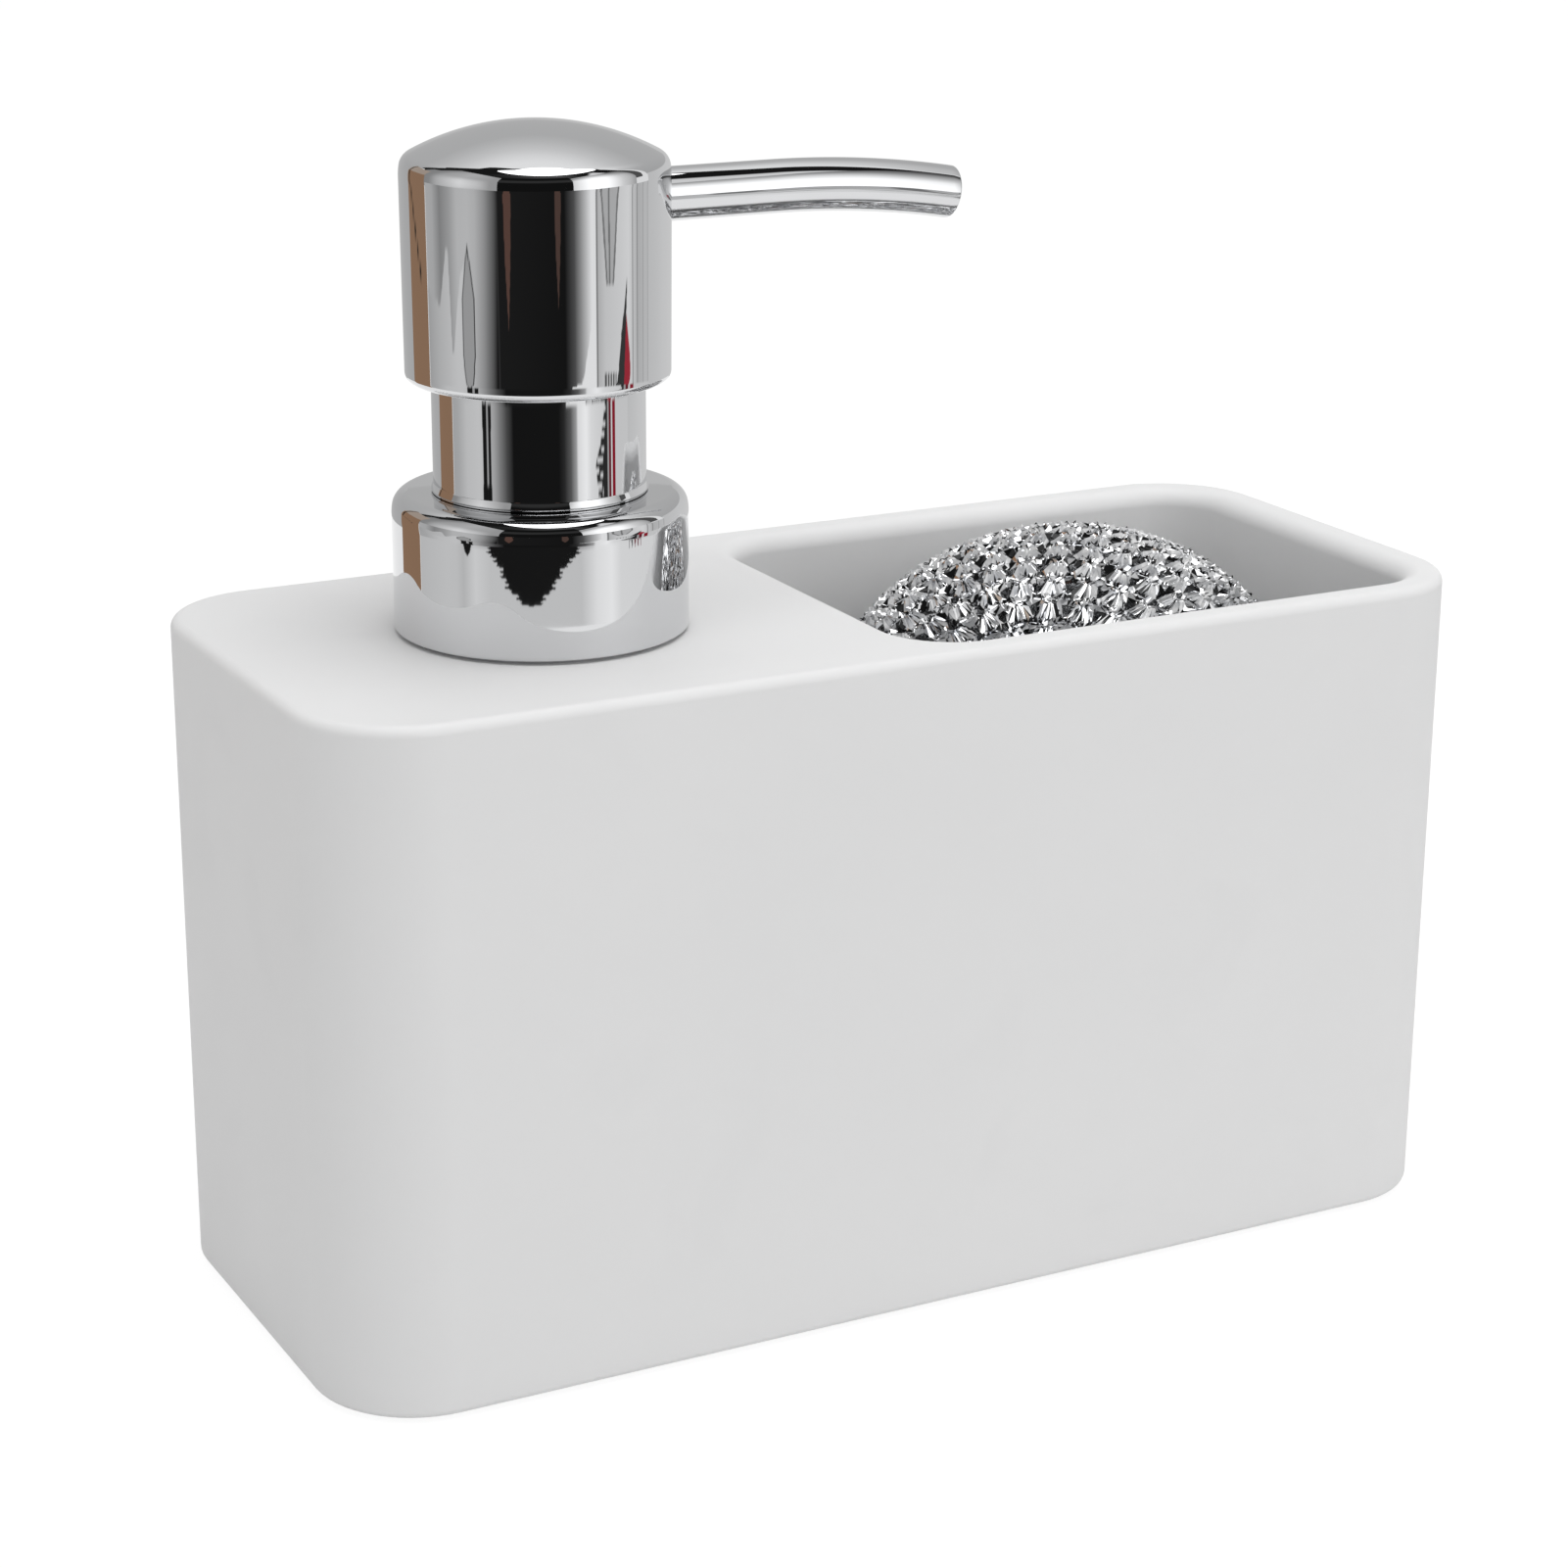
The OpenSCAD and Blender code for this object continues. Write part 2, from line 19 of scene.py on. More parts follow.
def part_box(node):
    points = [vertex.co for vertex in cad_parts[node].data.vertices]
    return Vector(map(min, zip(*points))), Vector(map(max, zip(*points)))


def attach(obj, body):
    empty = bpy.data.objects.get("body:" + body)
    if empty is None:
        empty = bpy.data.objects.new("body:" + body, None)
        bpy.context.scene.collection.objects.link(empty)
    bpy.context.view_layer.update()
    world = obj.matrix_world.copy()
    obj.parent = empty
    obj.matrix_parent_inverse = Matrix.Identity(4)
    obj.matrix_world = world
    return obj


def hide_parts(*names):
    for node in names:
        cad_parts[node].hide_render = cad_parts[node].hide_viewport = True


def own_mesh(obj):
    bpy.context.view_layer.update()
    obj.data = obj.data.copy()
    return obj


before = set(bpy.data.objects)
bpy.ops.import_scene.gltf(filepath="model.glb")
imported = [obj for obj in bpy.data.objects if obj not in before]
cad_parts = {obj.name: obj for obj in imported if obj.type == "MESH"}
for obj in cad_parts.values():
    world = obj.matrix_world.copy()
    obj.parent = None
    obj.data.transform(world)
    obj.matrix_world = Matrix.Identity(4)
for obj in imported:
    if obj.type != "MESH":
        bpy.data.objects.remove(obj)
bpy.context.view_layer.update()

# %% [markdown]
# ## Sizes
# A maker's drawing is in millimetres, and Blender counts in metres. Outlines below are written
# in millimetres and scaled once, when their mesh is made. What a solid can tell is measured on
# it, so the pump's axis and the heights follow the CAD model.

# %% Measure the solids
MM = 0.001


def span(node, axis):
    """Lowest and highest place of a solid along one axis, in millimetres."""
    low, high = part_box(node)
    return low[axis] / MM, high[axis] / MM


body_x0, body_x1 = span("caddy_body", 0)
body_y0, body_y1 = span("caddy_body", 1)
foot_z, top_z = span("caddy_body", 2)
collar_z0, collar_z1 = span("collar_shell", 2)
sleeve_z0, sleeve_z1 = span("sleeve", 2)
head_z0, head_z1 = span("head_shell", 2)
pump_x = sum(span("collar_shell", 0)) / 2
body_l, body_w = body_x1 - body_x0, body_y1 - body_y0
print("body", round(body_l, 1), "x", round(body_w, 1), "mm, pump axis at x =", round(pump_x, 2))

# %% [markdown]
# ## Camera
# The photograph was taken from the front left, a little above the pump. A long lens keeps the
# upright edges nearly parallel. A camera looks along its own -Z, so its matrix has three
# columns: right, up, and back, away from what it looks at. A very small roll finishes it.

# %% Place the camera
camera_data = bpy.data.cameras.new("photo_camera")
camera_data.lens = 81.82
camera_data.sensor_width = 36.0
camera_data.clip_start = 0.01
camera_data.clip_end = 50.0
camera = bpy.data.objects.new("photo_camera", camera_data)
bpy.context.scene.collection.objects.link(camera)
bpy.context.scene.camera = camera

eye = Vector((-224.18, -414.59, 216.93)) * MM
aim = Vector((-5.98, 0.0, 65.3)) * MM
roll = 0.0058
back = (eye - aim).normalized()
level = Vector((0, 0, 1)).cross(back).normalized()
upward = back.cross(level)
camera_right = level * math.cos(roll) + upward * math.sin(roll)
camera_up = upward * math.cos(roll) - level * math.sin(roll)
camera.matrix_world = Matrix.Translation(eye) @ Matrix((camera_right, camera_up, back)).transposed().to_4x4()
bpy.context.scene.view_settings.view_transform = "Standard"
print("camera", round((eye - aim).length / MM), "mm from the caddy")

# %% [markdown]
# ## Drawing outlines
# Most of this caddy is drawn with two moves: a rectangle with round corners, and an arc. Both
# are short lists of points, and a rounded edge is an arc with enough steps to look smooth.

# %% Outline helpers
def arc(x, z, r, start, end, steps=10):
    """Points along an arc about (x, z), angles in degrees."""
    turns = [math.radians(start + (end - start) * i / steps) for i in range(steps + 1)]
    return [(x + r * math.cos(a), z + r * math.sin(a)) for a in turns]


def round_box(l, w, r, x=0.0, steps=14):
    """Outline of a rectangle with round corners, counter-clockwise, centred on (x, 0)."""
    cx, cy = l / 2 - r, w / 2 - r
    corners = [(cx, cy, 0), (-cx, cy, 90), (-cx, -cy, 180), (cx, -cy, 270)]
    return [(x + px, py) for (a, b, start) in corners for px, py in arc(a, b, r, start, start + 90, steps)]


def at_height(points, z):
    return [(x, y, z) for x, y in points]


def between(stops, x):
    """Straight lines between (x, value) stops, and level beyond them."""
    if x <= stops[0][0]:
        return stops[0][1]
    for (x0, v0), (x1, v1) in zip(stops, stops[1:]):
        if x <= x1:
            return v0 + (v1 - v0) * (x - x0) / (x1 - x0)
    return stops[-1][1]


# %% [markdown]
# ## Meshes from rings
# A loft joins one ring of points to the next with quads. bmesh is the tool for this: it lets a
# script add vertices and faces one by one and keeps track of how they meet. `finish_mesh` does
# the same three things for every hard piece: it marks sharp edges by their angle, shades the
# rest smooth, and adds a Weighted Normal modifier, which lets large flat faces stay flat and
# leaves the bending of light to the small rounded ones. On chrome that matters a great deal.

# %% Mesh helpers
def add_ring(bm, points):
    return [bm.verts.new(Vector(p) * MM) for p in points]


def join_rings(bm, a, b):
    n = len(a)
    for i in range(n):
        j = (i + 1) % n
        bm.faces.new((a[i], a[j], b[j], b[i]))


def loft(bm, rings):
    """Joins ring after ring and returns the first and the last one's vertices."""
    made = [add_ring(bm, r) for r in rings]
    for a, b in zip(made, made[1:]):
        join_rings(bm, a, b)
    return made[0], made[-1]


def ring_edges(bm, ring):
    return [bm.edges.get((ring[i], ring[(i + 1) % len(ring)])) for i in range(len(ring))]


def finish_mesh(name, bm, sharp=35.0, weighted=True):
    """Turns a bmesh into an object with clean shading."""
    bmesh.ops.remove_doubles(bm, verts=bm.verts, dist=1e-6)
    bmesh.ops.dissolve_degenerate(bm, edges=bm.edges, dist=1e-7)
    bmesh.ops.recalc_face_normals(bm, faces=bm.faces)
    mesh = bpy.data.meshes.new(name)
    bm.to_mesh(mesh)
    bm.free()
    mesh.shade_smooth()
    mesh.set_sharp_from_angle(angle=math.radians(sharp))
    piece = bpy.data.objects.new(name, mesh)
    bpy.context.scene.collection.objects.link(piece)
    if weighted:
        modifier = piece.modifiers.new("flat_stays_flat", "WEIGHTED_NORMAL")
        modifier.keep_sharp = True
        modifier.weight = 60
    return piece


def seat(piece, body, slot_name, *replaced):
    """Lets a piece ride on its body and stand for its solids."""
    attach(piece, body)
    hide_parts(*replaced)
    low = [round(min(v.co[k] for v in piece.data.vertices) / MM, 1) for k in range(3)]
    high = [round(max(v.co[k] for v in piece.data.vertices) / MM, 1) for k in range(3)]
    print(piece.name, len(piece.data.polygons), "faces, mm", low, high)
    return piece


# %% [markdown]
# ## The cast body
# The real body is a box cast in resin and sanded: round upright corners, a fine round along the
# top edge, a tray with a soft lip, and a reservoir under its roof that a plate closes from
# below. It could be a cube with modifiers, but its two cavities have roundings of their own. So
# it is lofted ring by ring, in one closed skin: up the outside, over the top edge, and then down
# into the tray, down the pump's hole and into the reservoir. Two flat faces with holes in them,
# the top and the roof, are filled between their rings.

# %% Sizes of the body
wall_t, corner_r, top_edge_r, foot_edge_r = 5.75, 14.5, 1.4, 1.0
lip_r, tray_floor_r, tray_depth = 2.6, 6.0, 52.5
plate_rim, plate_z1, neck_hole_r = 2.75, 3.6, 15.05
inner_l, inner_w, inner_r = body_l - 2 * wall_t, body_w - 2 * wall_t, corner_r - wall_t
pump_room_l = 71.95
tray_l = inner_l - pump_room_l - wall_t
tray_x = inner_l / 2 - tray_l / 2
pump_room_x = -inner_l / 2 + pump_room_l / 2
tray_z, roof_z = top_z - tray_depth, top_z - wall_t
print("tray", round(tray_l, 1), "x", round(inner_w, 1), "x", tray_depth, "mm at x =", round(tray_x, 2))


# %% Rings of the body
def body_ring(inset, z):
    return at_height(round_box(body_l - 2 * inset, body_w - 2 * inset, corner_r - inset), z)


def tray_ring(inset, z):
    return at_height(round_box(tray_l - 2 * inset, inner_w - 2 * inset, inner_r - inset, tray_x), z)


def room_ring(l, x, z):
    return at_height(round_box(l, inner_w, inner_r, x), z)


def round_ring(r, z, steps=96):
    """A level circle about the pump's axis."""
    turns = [2 * math.pi * i / steps for i in range(steps)]
    return [(pump_x + r * math.cos(a), r * math.sin(a), z) for a in turns]


def fill_between(bm, *rings):
    """Fills a flat face that lies between an outer ring and the holes in it."""
    edges = [e for ring in rings for e in ring_edges(bm, ring)]
    bmesh.ops.triangle_fill(bm, edges=edges, use_beauty=True)


body_bm = bmesh.new()
outside = [body_ring(plate_rim, plate_z1), body_ring(plate_rim, foot_z)]
outside += [body_ring(x, z) for x, z in arc(foot_edge_r, foot_z + foot_edge_r, foot_edge_r, 270, 180)]
outside += [body_ring(x, z) for x, z in arc(top_edge_r, top_z - top_edge_r, top_edge_r, 180, 90)]
recess_edge, top_edge = loft(body_bm, outside)

inside_tray = [tray_ring(x, z) for x, z in arc(-lip_r, top_z - lip_r, lip_r, 90, 0)]
inside_tray += [tray_ring(x, z) for x, z in arc(tray_floor_r, tray_z + tray_floor_r, tray_floor_r, 180, 270)]
tray_mouth, tray_floor = loft(body_bm, inside_tray)
body_bm.faces.new(tray_floor)

hole_top, hole_low = loft(body_bm, [round_ring(neck_hole_r, top_z), round_ring(neck_hole_r, roof_z)])
fill_between(body_bm, top_edge, tray_mouth, hole_top)

ledge_z = tray_z - wall_t
room_top, room_low = loft(body_bm, [
    room_ring(pump_room_l, pump_room_x, roof_z), room_ring(pump_room_l, pump_room_x, ledge_z),
    room_ring(inner_l, 0.0, ledge_z), room_ring(inner_l, 0.0, plate_z1)])
fill_between(body_bm, room_top, hole_low)
fill_between(body_bm, recess_edge, room_low)
seat(finish_mesh("cast_body", body_bm), "caddy", "cast_resin", "caddy_body")

# %% [markdown]
# ## Turned pieces
# Collar, sleeve and head are turned shapes: an outline spun about the pump's axis. A Screw
# modifier could spin it, but then the outline's roundings and the count of segments would sit
# in two places. Here one function spins a closed outline itself, with enough segments that the
# chrome shows no facets, and long straight walls get extra rows so that reflections run true.

# %% Turning helper
def spin(name, points, segments=160, row=2.0, sharp=35.0):
    """Spins a closed outline of (radius, height) about the pump's axis."""
    outline = []
    for (r0, z0), (r1, z1) in zip(points, points[1:] + points[:1]):
        rows = max(1, round(math.hypot(r1 - r0, z1 - z0) / row))
        outline += [(r0 + (r1 - r0) * i / rows, z0 + (z1 - z0) * i / rows) for i in range(rows)]
    bm = bmesh.new()
    rings = []
    for i in range(segments):
        a = 2 * math.pi * i / segments
        rings.append([
            bm.verts.new(Vector((pump_x + r * math.cos(a), r * math.sin(a), z)) * MM) for r, z in outline])
    for a, b in zip(rings, rings[1:] + rings[:1]):
        join_rings(bm, a, b)
    return finish_mesh(name, bm, sharp)


# %% [markdown]
# ## The plated collar and sleeve
# The collar is a cup that hides the screw closure. It stands half a millimetre over the cast
# top, so a thin dark line shows under it. Its shoulder starts softly, with a wide arc of a few
# degrees, before it turns in tightly; that stretches the reflection of the lamps downwards.
# The sleeve stands on it and runs up into the head.

# %% Soft shoulders
soft_share, soft_turn = 4, 10
soft_inset = soft_share - (soft_share - 1) * math.cos(math.radians(soft_turn))


def soft_edge(x, z, r, to, t=0.0, tight_steps=16):
    """Shoulder at the end of a wall of radius x; its tight arc is centred at height z."""
    low = z - (soft_share - 1) * r * math.sin(math.radians(soft_turn))
    return (arc(x - soft_share * r, low, soft_share * r - t, 0, soft_turn, 6)[:-1]
            + arc(x - soft_inset * r, z, r - t, soft_turn, to, tight_steps))


# %% Collar
collar_r, collar_t, collar_edge_r, collar_foot_r, collar_hole_r = 19.3, 1.2, 2.1, 0.3, 9.45
collar = spin("collar", (
    [(collar_r - collar_t, collar_z0)]
    + arc(collar_r - collar_foot_r, collar_z0 + collar_foot_r, collar_foot_r, -90, 0, 5)
    + soft_edge(collar_r, collar_z1 - collar_edge_r, collar_edge_r, 90)
    + [(collar_hole_r, collar_z1), (collar_hole_r, collar_z1 - collar_t),
       (collar_r - collar_t, collar_z1 - collar_t)]))
seat(collar, "collar", "plated", "collar_shell")

# %% Sleeve
sleeve_r, sleeve_t, sleeve_edge_r, sleeve_hole_r = 13.8, 1.0, 0.6, 6.55
sleeve_tube = spin("sleeve_tube", (
    [(sleeve_r - sleeve_t, sleeve_z0), (sleeve_r + 0.2, sleeve_z0)]
    + arc(sleeve_r + 0.1, sleeve_z0 + 0.3, 0.2, -60, 20, 4)
    + arc(sleeve_r + 0.5, sleeve_z0 + 1.2, 0.5, 200, 180, 3)
    + arc(sleeve_r - sleeve_edge_r, sleeve_z1 - sleeve_edge_r, sleeve_edge_r, 0, 90, 6)
    + [(sleeve_hole_r, sleeve_z1), (sleeve_hole_r, sleeve_z1 - sleeve_t),
       (sleeve_r - sleeve_t, sleeve_z1 - sleeve_t)]))
seat(sleeve_tube, "pump", "plated", "sleeve")

# %% [markdown]
# ## The head
# The head is a hollow cap: a wall that widens a hair towards the top, a tight shoulder, and a
# shallow dome. The dome is part of a large sphere that meets the shoulder's arc without a kink,
# so its centre is worked out from the two radii. The hole for the spout is cut with a Boolean
# modifier, which is applied at once, because the cutter isn't a part of the pump.

# %% Head outline
head_r, head_top_r, head_t, head_foot_r = 17.1, 17.25, 1.2, 1.08
dome_h, shoulder_edge_r, dome_end = 5.8, 2.0, 89.9
shoulder_z, shoulder_x = head_z1 - dome_h, head_top_r - soft_inset * shoulder_edge_r
dome_r = (shoulder_x**2 + dome_h**2 - shoulder_edge_r**2) / (2 * (dome_h - shoulder_edge_r))
dome_z = head_z1 - dome_r
dome_angle = math.degrees(math.atan2(shoulder_x, dome_r - dome_h))
dome_start = 90 - dome_angle
spout_z, spout_r, spout_bore_r = shoulder_z - 4.7, 3.5, 2.4
head_cap = spin("head_cap", (
    [(head_r - head_t, head_z0)]
    + arc(head_r - head_foot_r, head_z0 + head_foot_r, head_foot_r, -90, 0, 12)
    + soft_edge(head_top_r, shoulder_z, shoulder_edge_r, dome_start)
    + arc(0, dome_z, dome_r, dome_start, dome_end, 30)
    + arc(0, dome_z, dome_r - head_t, dome_end, dome_start, 20)
    + soft_edge(head_top_r, shoulder_z, shoulder_edge_r, dome_start, head_t, 5)[::-1]), segments=192, row=1.2)
print("dome radius", round(dome_r, 2), "mm, meets the shoulder", round(dome_angle, 1), "degrees from its top")


# %% Hole for the spout
spout_play = 0.05


def pierce(piece, r, x0, x1, z):
    """Cuts a level hole along +X through a piece, and leaves no cutter behind."""
    bpy.ops.mesh.primitive_cylinder_add(
        radius=r * MM, depth=(x1 - x0) * MM, vertices=64,
        location=((x0 + x1) / 2 * MM, 0, z * MM), rotation=(0, math.pi / 2, 0))
    cutter = bpy.context.object
    cut = piece.modifiers.new("hole", "BOOLEAN")
    cut.object = cutter
    cut.solver = "EXACT"
    piece.modifiers.move(len(piece.modifiers) - 1, 0)
    bpy.context.view_layer.objects.active = piece
    bpy.ops.object.modifier_apply(modifier=cut.name)
    bpy.data.objects.remove(cutter)
    piece.data.shade_smooth()
    piece.data.set_sharp_from_angle(angle=math.radians(35))


pierce(head_cap, spout_r + spout_play, pump_x + 10, pump_x + 20, spout_z)
seat(head_cap, "head", "plated", "head_shell")

# %% [markdown]
# ## The spout
# The spout is one drawn tube: level where it leaves the head, then a slow bend that lets the
# tip droop. A curve with a bevel would give a tube, but no bore and no rounded rim. So rings
# are swept along the middle line: down the outside, round the rim, and back up the bore.

# %% Spout
spout_reach, bend_r, droop, rim_r = 60.5, 150.0, 10.3, 0.25
spout_root, spout_parts = 5.5, 56
bend_x = spout_reach - bend_r * math.sin(math.radians(droop))


def on_spout(s):
    """Middle line of the spout: place and downward angle after s millimetres."""
    if s < bend_x:
        return s, spout_z, 0.0
    a = min((s - bend_x) / bend_r, math.radians(droop))
    over = s - bend_x - bend_r * a
    x = bend_x + bend_r * math.sin(a) + over * math.cos(a)
    return x, spout_z - bend_r * (1 - math.cos(a)) - over * math.sin(a), a


def spout_ring(r, s, segments=64):
    x, z, a = on_spout(s)
    return [
        (pump_x + x + r * math.sin(b) * math.sin(a), r * math.cos(b), z + r * math.sin(b) * math.cos(a))
        for b in (2 * math.pi * i / segments for i in range(segments))]


tip_s = bend_x + bend_r * math.radians(droop)
rim_s = tip_s - rim_r
spout_stops = [spout_root + (rim_s - spout_root) * i / spout_parts for i in range(spout_parts + 1)]
spout_rings = [spout_ring(spout_r, s) for s in spout_stops]
spout_rings += [spout_ring(spout_r - rim_r + x, rim_s + z) for x, z in arc(0, 0, rim_r, 0, 90, 5)[1:]]
spout_rings += [spout_ring(spout_bore_r, s) for s in [tip_s] + spout_stops[::-4]]
spout_bm = bmesh.new()
spout_first, spout_last = loft(spout_bm, spout_rings)
join_rings(spout_bm, spout_last, spout_first)
seat(finish_mesh("spout_tube", spout_bm), "head", "plated", "spout")
print("spout", round(tip_s - head_top_r, 1), "mm long outside the head")

# %% [markdown]
# ## The neck and its thread
# The collar's closure screws on a neck that is glued into the cast roof. The solid is a plain
# tube, and the thread that a real neck carries is made here: a ridge that climbs 3.2 mm a turn.
# The points of the grid climb with it, so the ridge keeps clean edges, and they are held
# between the thread's two ends, where the ridge fades into the neck.

# %% Neck with its thread
bush_r, bush_flange_r, bush_flange_z = 15.0, 18.2, top_z + 0.4
neck_r, neck_core_r, neck_bore_r = 13.6, 12.9, 11.6
neck_z1 = span("neck_bush", 2)[1]
thread_pitch, thread_z0, thread_z1 = 3.2, bush_flange_z + 1.6, neck_z1 - 1.4
thread_steps = [(0.0, 0.0), (0.3, 0.0), (0.42, 1.0), (0.58, 1.0), (0.7, 0.0)]
neck_sides, thread_fade = 96, 0.8


def neck_rings():
    """Rings from the flange up the threaded neck; each is pushed up by the thread's climb."""
    turns = math.ceil((thread_z1 - thread_z0) / thread_pitch) + 1
    stops = [(t + s, h) for t in range(-1, turns) for s, h in thread_steps]
    rings = []
    for stop, ridge in stops:
        ring = []
        for i in range(neck_sides):
            z = thread_z0 + (stop + i / neck_sides) * thread_pitch
            held = min(max(z, thread_z0), thread_z1)
            fade = min(1.0, (held - thread_z0) / thread_fade, (thread_z1 - held) / thread_fade)
            r = neck_core_r + (neck_r - neck_core_r) * ridge * fade
            a = 2 * math.pi * i / neck_sides
            ring.append((pump_x + r * math.cos(a), r * math.sin(a), held))
        rings.append(ring)
    return rings


neck_bm = bmesh.new()
thread_rings = [add_ring(neck_bm, ring) for ring in neck_rings()]
for low_ring, high_ring in zip(thread_rings, thread_rings[1:]):
    for i in range(neck_sides - 1):
        neck_bm.faces.new((low_ring[i], low_ring[i + 1], high_ring[i + 1], high_ring[i]))
per_turn = len(thread_steps)
for k in range(len(thread_rings) - 1 - per_turn):
    a, b = thread_rings[k], thread_rings[k + per_turn]
    neck_bm.faces.new((a[-1], b[0], thread_rings[k + per_turn + 1][0], thread_rings[k + 1][-1]))
bmesh.ops.remove_doubles(neck_bm, verts=neck_bm.verts, dist=1e-6)
bmesh.ops.delete(neck_bm, geom=[v for v in neck_bm.verts if not v.link_faces], context="VERTS")
neck_low = [(neck_core_r, thread_z0), (neck_core_r, bush_flange_z), (bush_flange_r, bush_flange_z),
            (bush_flange_r, top_z), (bush_r, top_z), (bush_r, roof_z), (neck_bore_r, roof_z)]
neck_high = [(neck_bore_r, roof_z), (neck_bore_r, neck_z1), (neck_r - 1.0, neck_z1),
             (neck_core_r, neck_z1 - 0.3), (neck_core_r, thread_z1)]
for points in (neck_low, neck_high):
    loft(neck_bm, [round_ring(r, z, neck_sides) for r, z in points])
seat(finish_mesh("threaded_neck", neck_bm, sharp=30), "caddy", "neck_plastic", "neck_bush")

# %% [markdown]
# ## The return spring
# A spring is a circle swept along a helix. Its end turns lie closer together than the middle
# ones, as on a real compression spring. It has to shorten when the head is pressed; here it
# rides on the pump and gets a mesh of its own.

# %% Spring
spring_z0, spring_z1 = span("spring", 2)
coil_r, wire_r, coil_turns, coil_steps, wire_sides = 4.9, 0.45, 9, 40, 12
end_pitch = 2 * wire_r + 0.5
coil_low, coil_high = spring_z0 + wire_r, spring_z1 - wire_r
mid_pitch = (coil_high - coil_low - 2 * end_pitch) / (coil_turns - 2)


def coil_height(u):
    if u < 1:
        return coil_low + u * end_pitch
    if u > coil_turns - 1:
        return coil_high - (coil_turns - u) * end_pitch
    return coil_low + end_pitch + (u - 1) * mid_pitch


spring_bm = bmesh.new()
wire_rings = []
for k in range(coil_turns * coil_steps + 1):
    a = 2 * math.pi * k / coil_steps
    wire = [(coil_r + wire_r * math.cos(b), coil_height(k / coil_steps) + wire_r * math.sin(b))
            for b in (2 * math.pi * j / wire_sides for j in range(wire_sides))]
    wire_rings.append([(pump_x + r * math.cos(a), r * math.sin(a), z) for r, z in wire])
wire_start, wire_end = loft(spring_bm, wire_rings)
spring_bm.faces.new(wire_start)
spring_bm.faces.new(wire_end)
return_spring = seat(finish_mesh("return_spring", spring_bm, sharp=60), "pump", "spring_steel", "spring")
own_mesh(return_spring)

# %% [markdown]
# ## The scourer
# The scourer is a soft pad wrapped in a tube that is knitted from flat silver film. The film
# fans out over the head of each loop and draws together at its neck, so each stitch shows as a
# bright V with a dark gap in it. The rows of stitches run in rings about an axis that leans far
# to the front left, so the rings' ends lie down in the tray.
#
# A texture can't throw such glints, because each fold of the film has to mirror another part of
# the room. So the loops are real: a knitting curve is walked round each ring, and a pleated
# ribbon follows it. Its pleats keep their own height along each leg of a loop, which gives long
# bright streaks, and change where the film turns. The pad inside is a separate form, coloured
# darker as painted shade between the loops.

# %% Pad under the knit
pad_low, pad_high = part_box("scourer")
pad_middle = (pad_low + pad_high) / 2 / MM
pad_half = (pad_high - pad_low) / 2 / MM
knit_axis = Vector((-0.52, -0.80, 0.30)).normalized()
knit_up = (Vector((0, 0, 1)) - knit_axis * knit_axis.z).normalized()
knit_side = knit_up.cross(knit_axis)


def on_pad(polar, turn, out=0.0):
    """A point on the pad, out millimetres over its surface; turn 0 is the ring's highest place."""
    u = knit_axis * math.cos(polar) + (knit_up * math.cos(turn) + knit_side * math.sin(turn)) * math.sin(polar)
    place = Vector((pad_half.x * u.x, pad_half.y * u.y, pad_half.z * u.z))
    normal = Vector((u.x / pad_half.x, u.y / pad_half.y, u.z / pad_half.z)).normalized()
    return pad_middle + place + normal * out


core_rows, core_sides, core_depth = 40, 72, 1.5
core_bm = bmesh.new()
core_rings = [[on_pad(math.pi * k / core_rows, 2 * math.pi * i / core_sides, -core_depth)
               for i in range(core_sides)] for k in range(1, core_rows)]
core_first, core_last = loft(core_bm, core_rings)
core_bm.faces.new(core_first)
core_bm.faces.new(core_last)
scourer_core = finish_mesh("scourer_core", core_bm, weighted=False)

# %% Knitted film
film_random = random.Random(7)
ring_slip, edge_slip, least_fold, most_fold = 0.012, 0.06, 0.3, 1.7
stitch_w, stitch_h, loop_bulge, loop_h = 3.95, 4.35, 0.23, 0.56
loop_stops = [0.5, 0.42, 0.32, 0.14, 0.07, 0.0]
pleats = [(1.0, -0.34), (0.15, 0.24), (-0.3, -0.16), (-0.65, 0.24), (-1.0, -0.2)]
outer_width = [(0, 0.5), (0.07, 0.5), (0.14, 0.9), (0.32, 0.6), (0.5, 0.6)]
inner_width = [(0, 0.5), (0.07, 0.5), (0.14, 0.65), (0.32, 1.32), (0.42, 1.58), (0.5, 1.8)]
film_height = [(0, -0.1), (0.14, 0.1), (0.3, 0.40), (0.42, 0.10), (0.5, -0.4)]


def knit_place(polar, turn0, width, height, t, side, out):
    """A point of the knitting curve after t stitches, side millimetres to its left."""
    a = 2 * math.pi * t
    across = t + loop_bulge * math.sin(2 * a)
    dx = (1 + loop_bulge * 4 * math.pi * math.cos(2 * a)) * stitch_w
    dy = -loop_h * 2 * math.pi * math.sin(a) * stitch_h
    length = math.hypot(dx, dy)
    return on_pad(polar - (loop_h * math.cos(a) + side * dx / length / stitch_h) * height,
                  turn0 + (across - side * dy / length / stitch_w) * width, out)


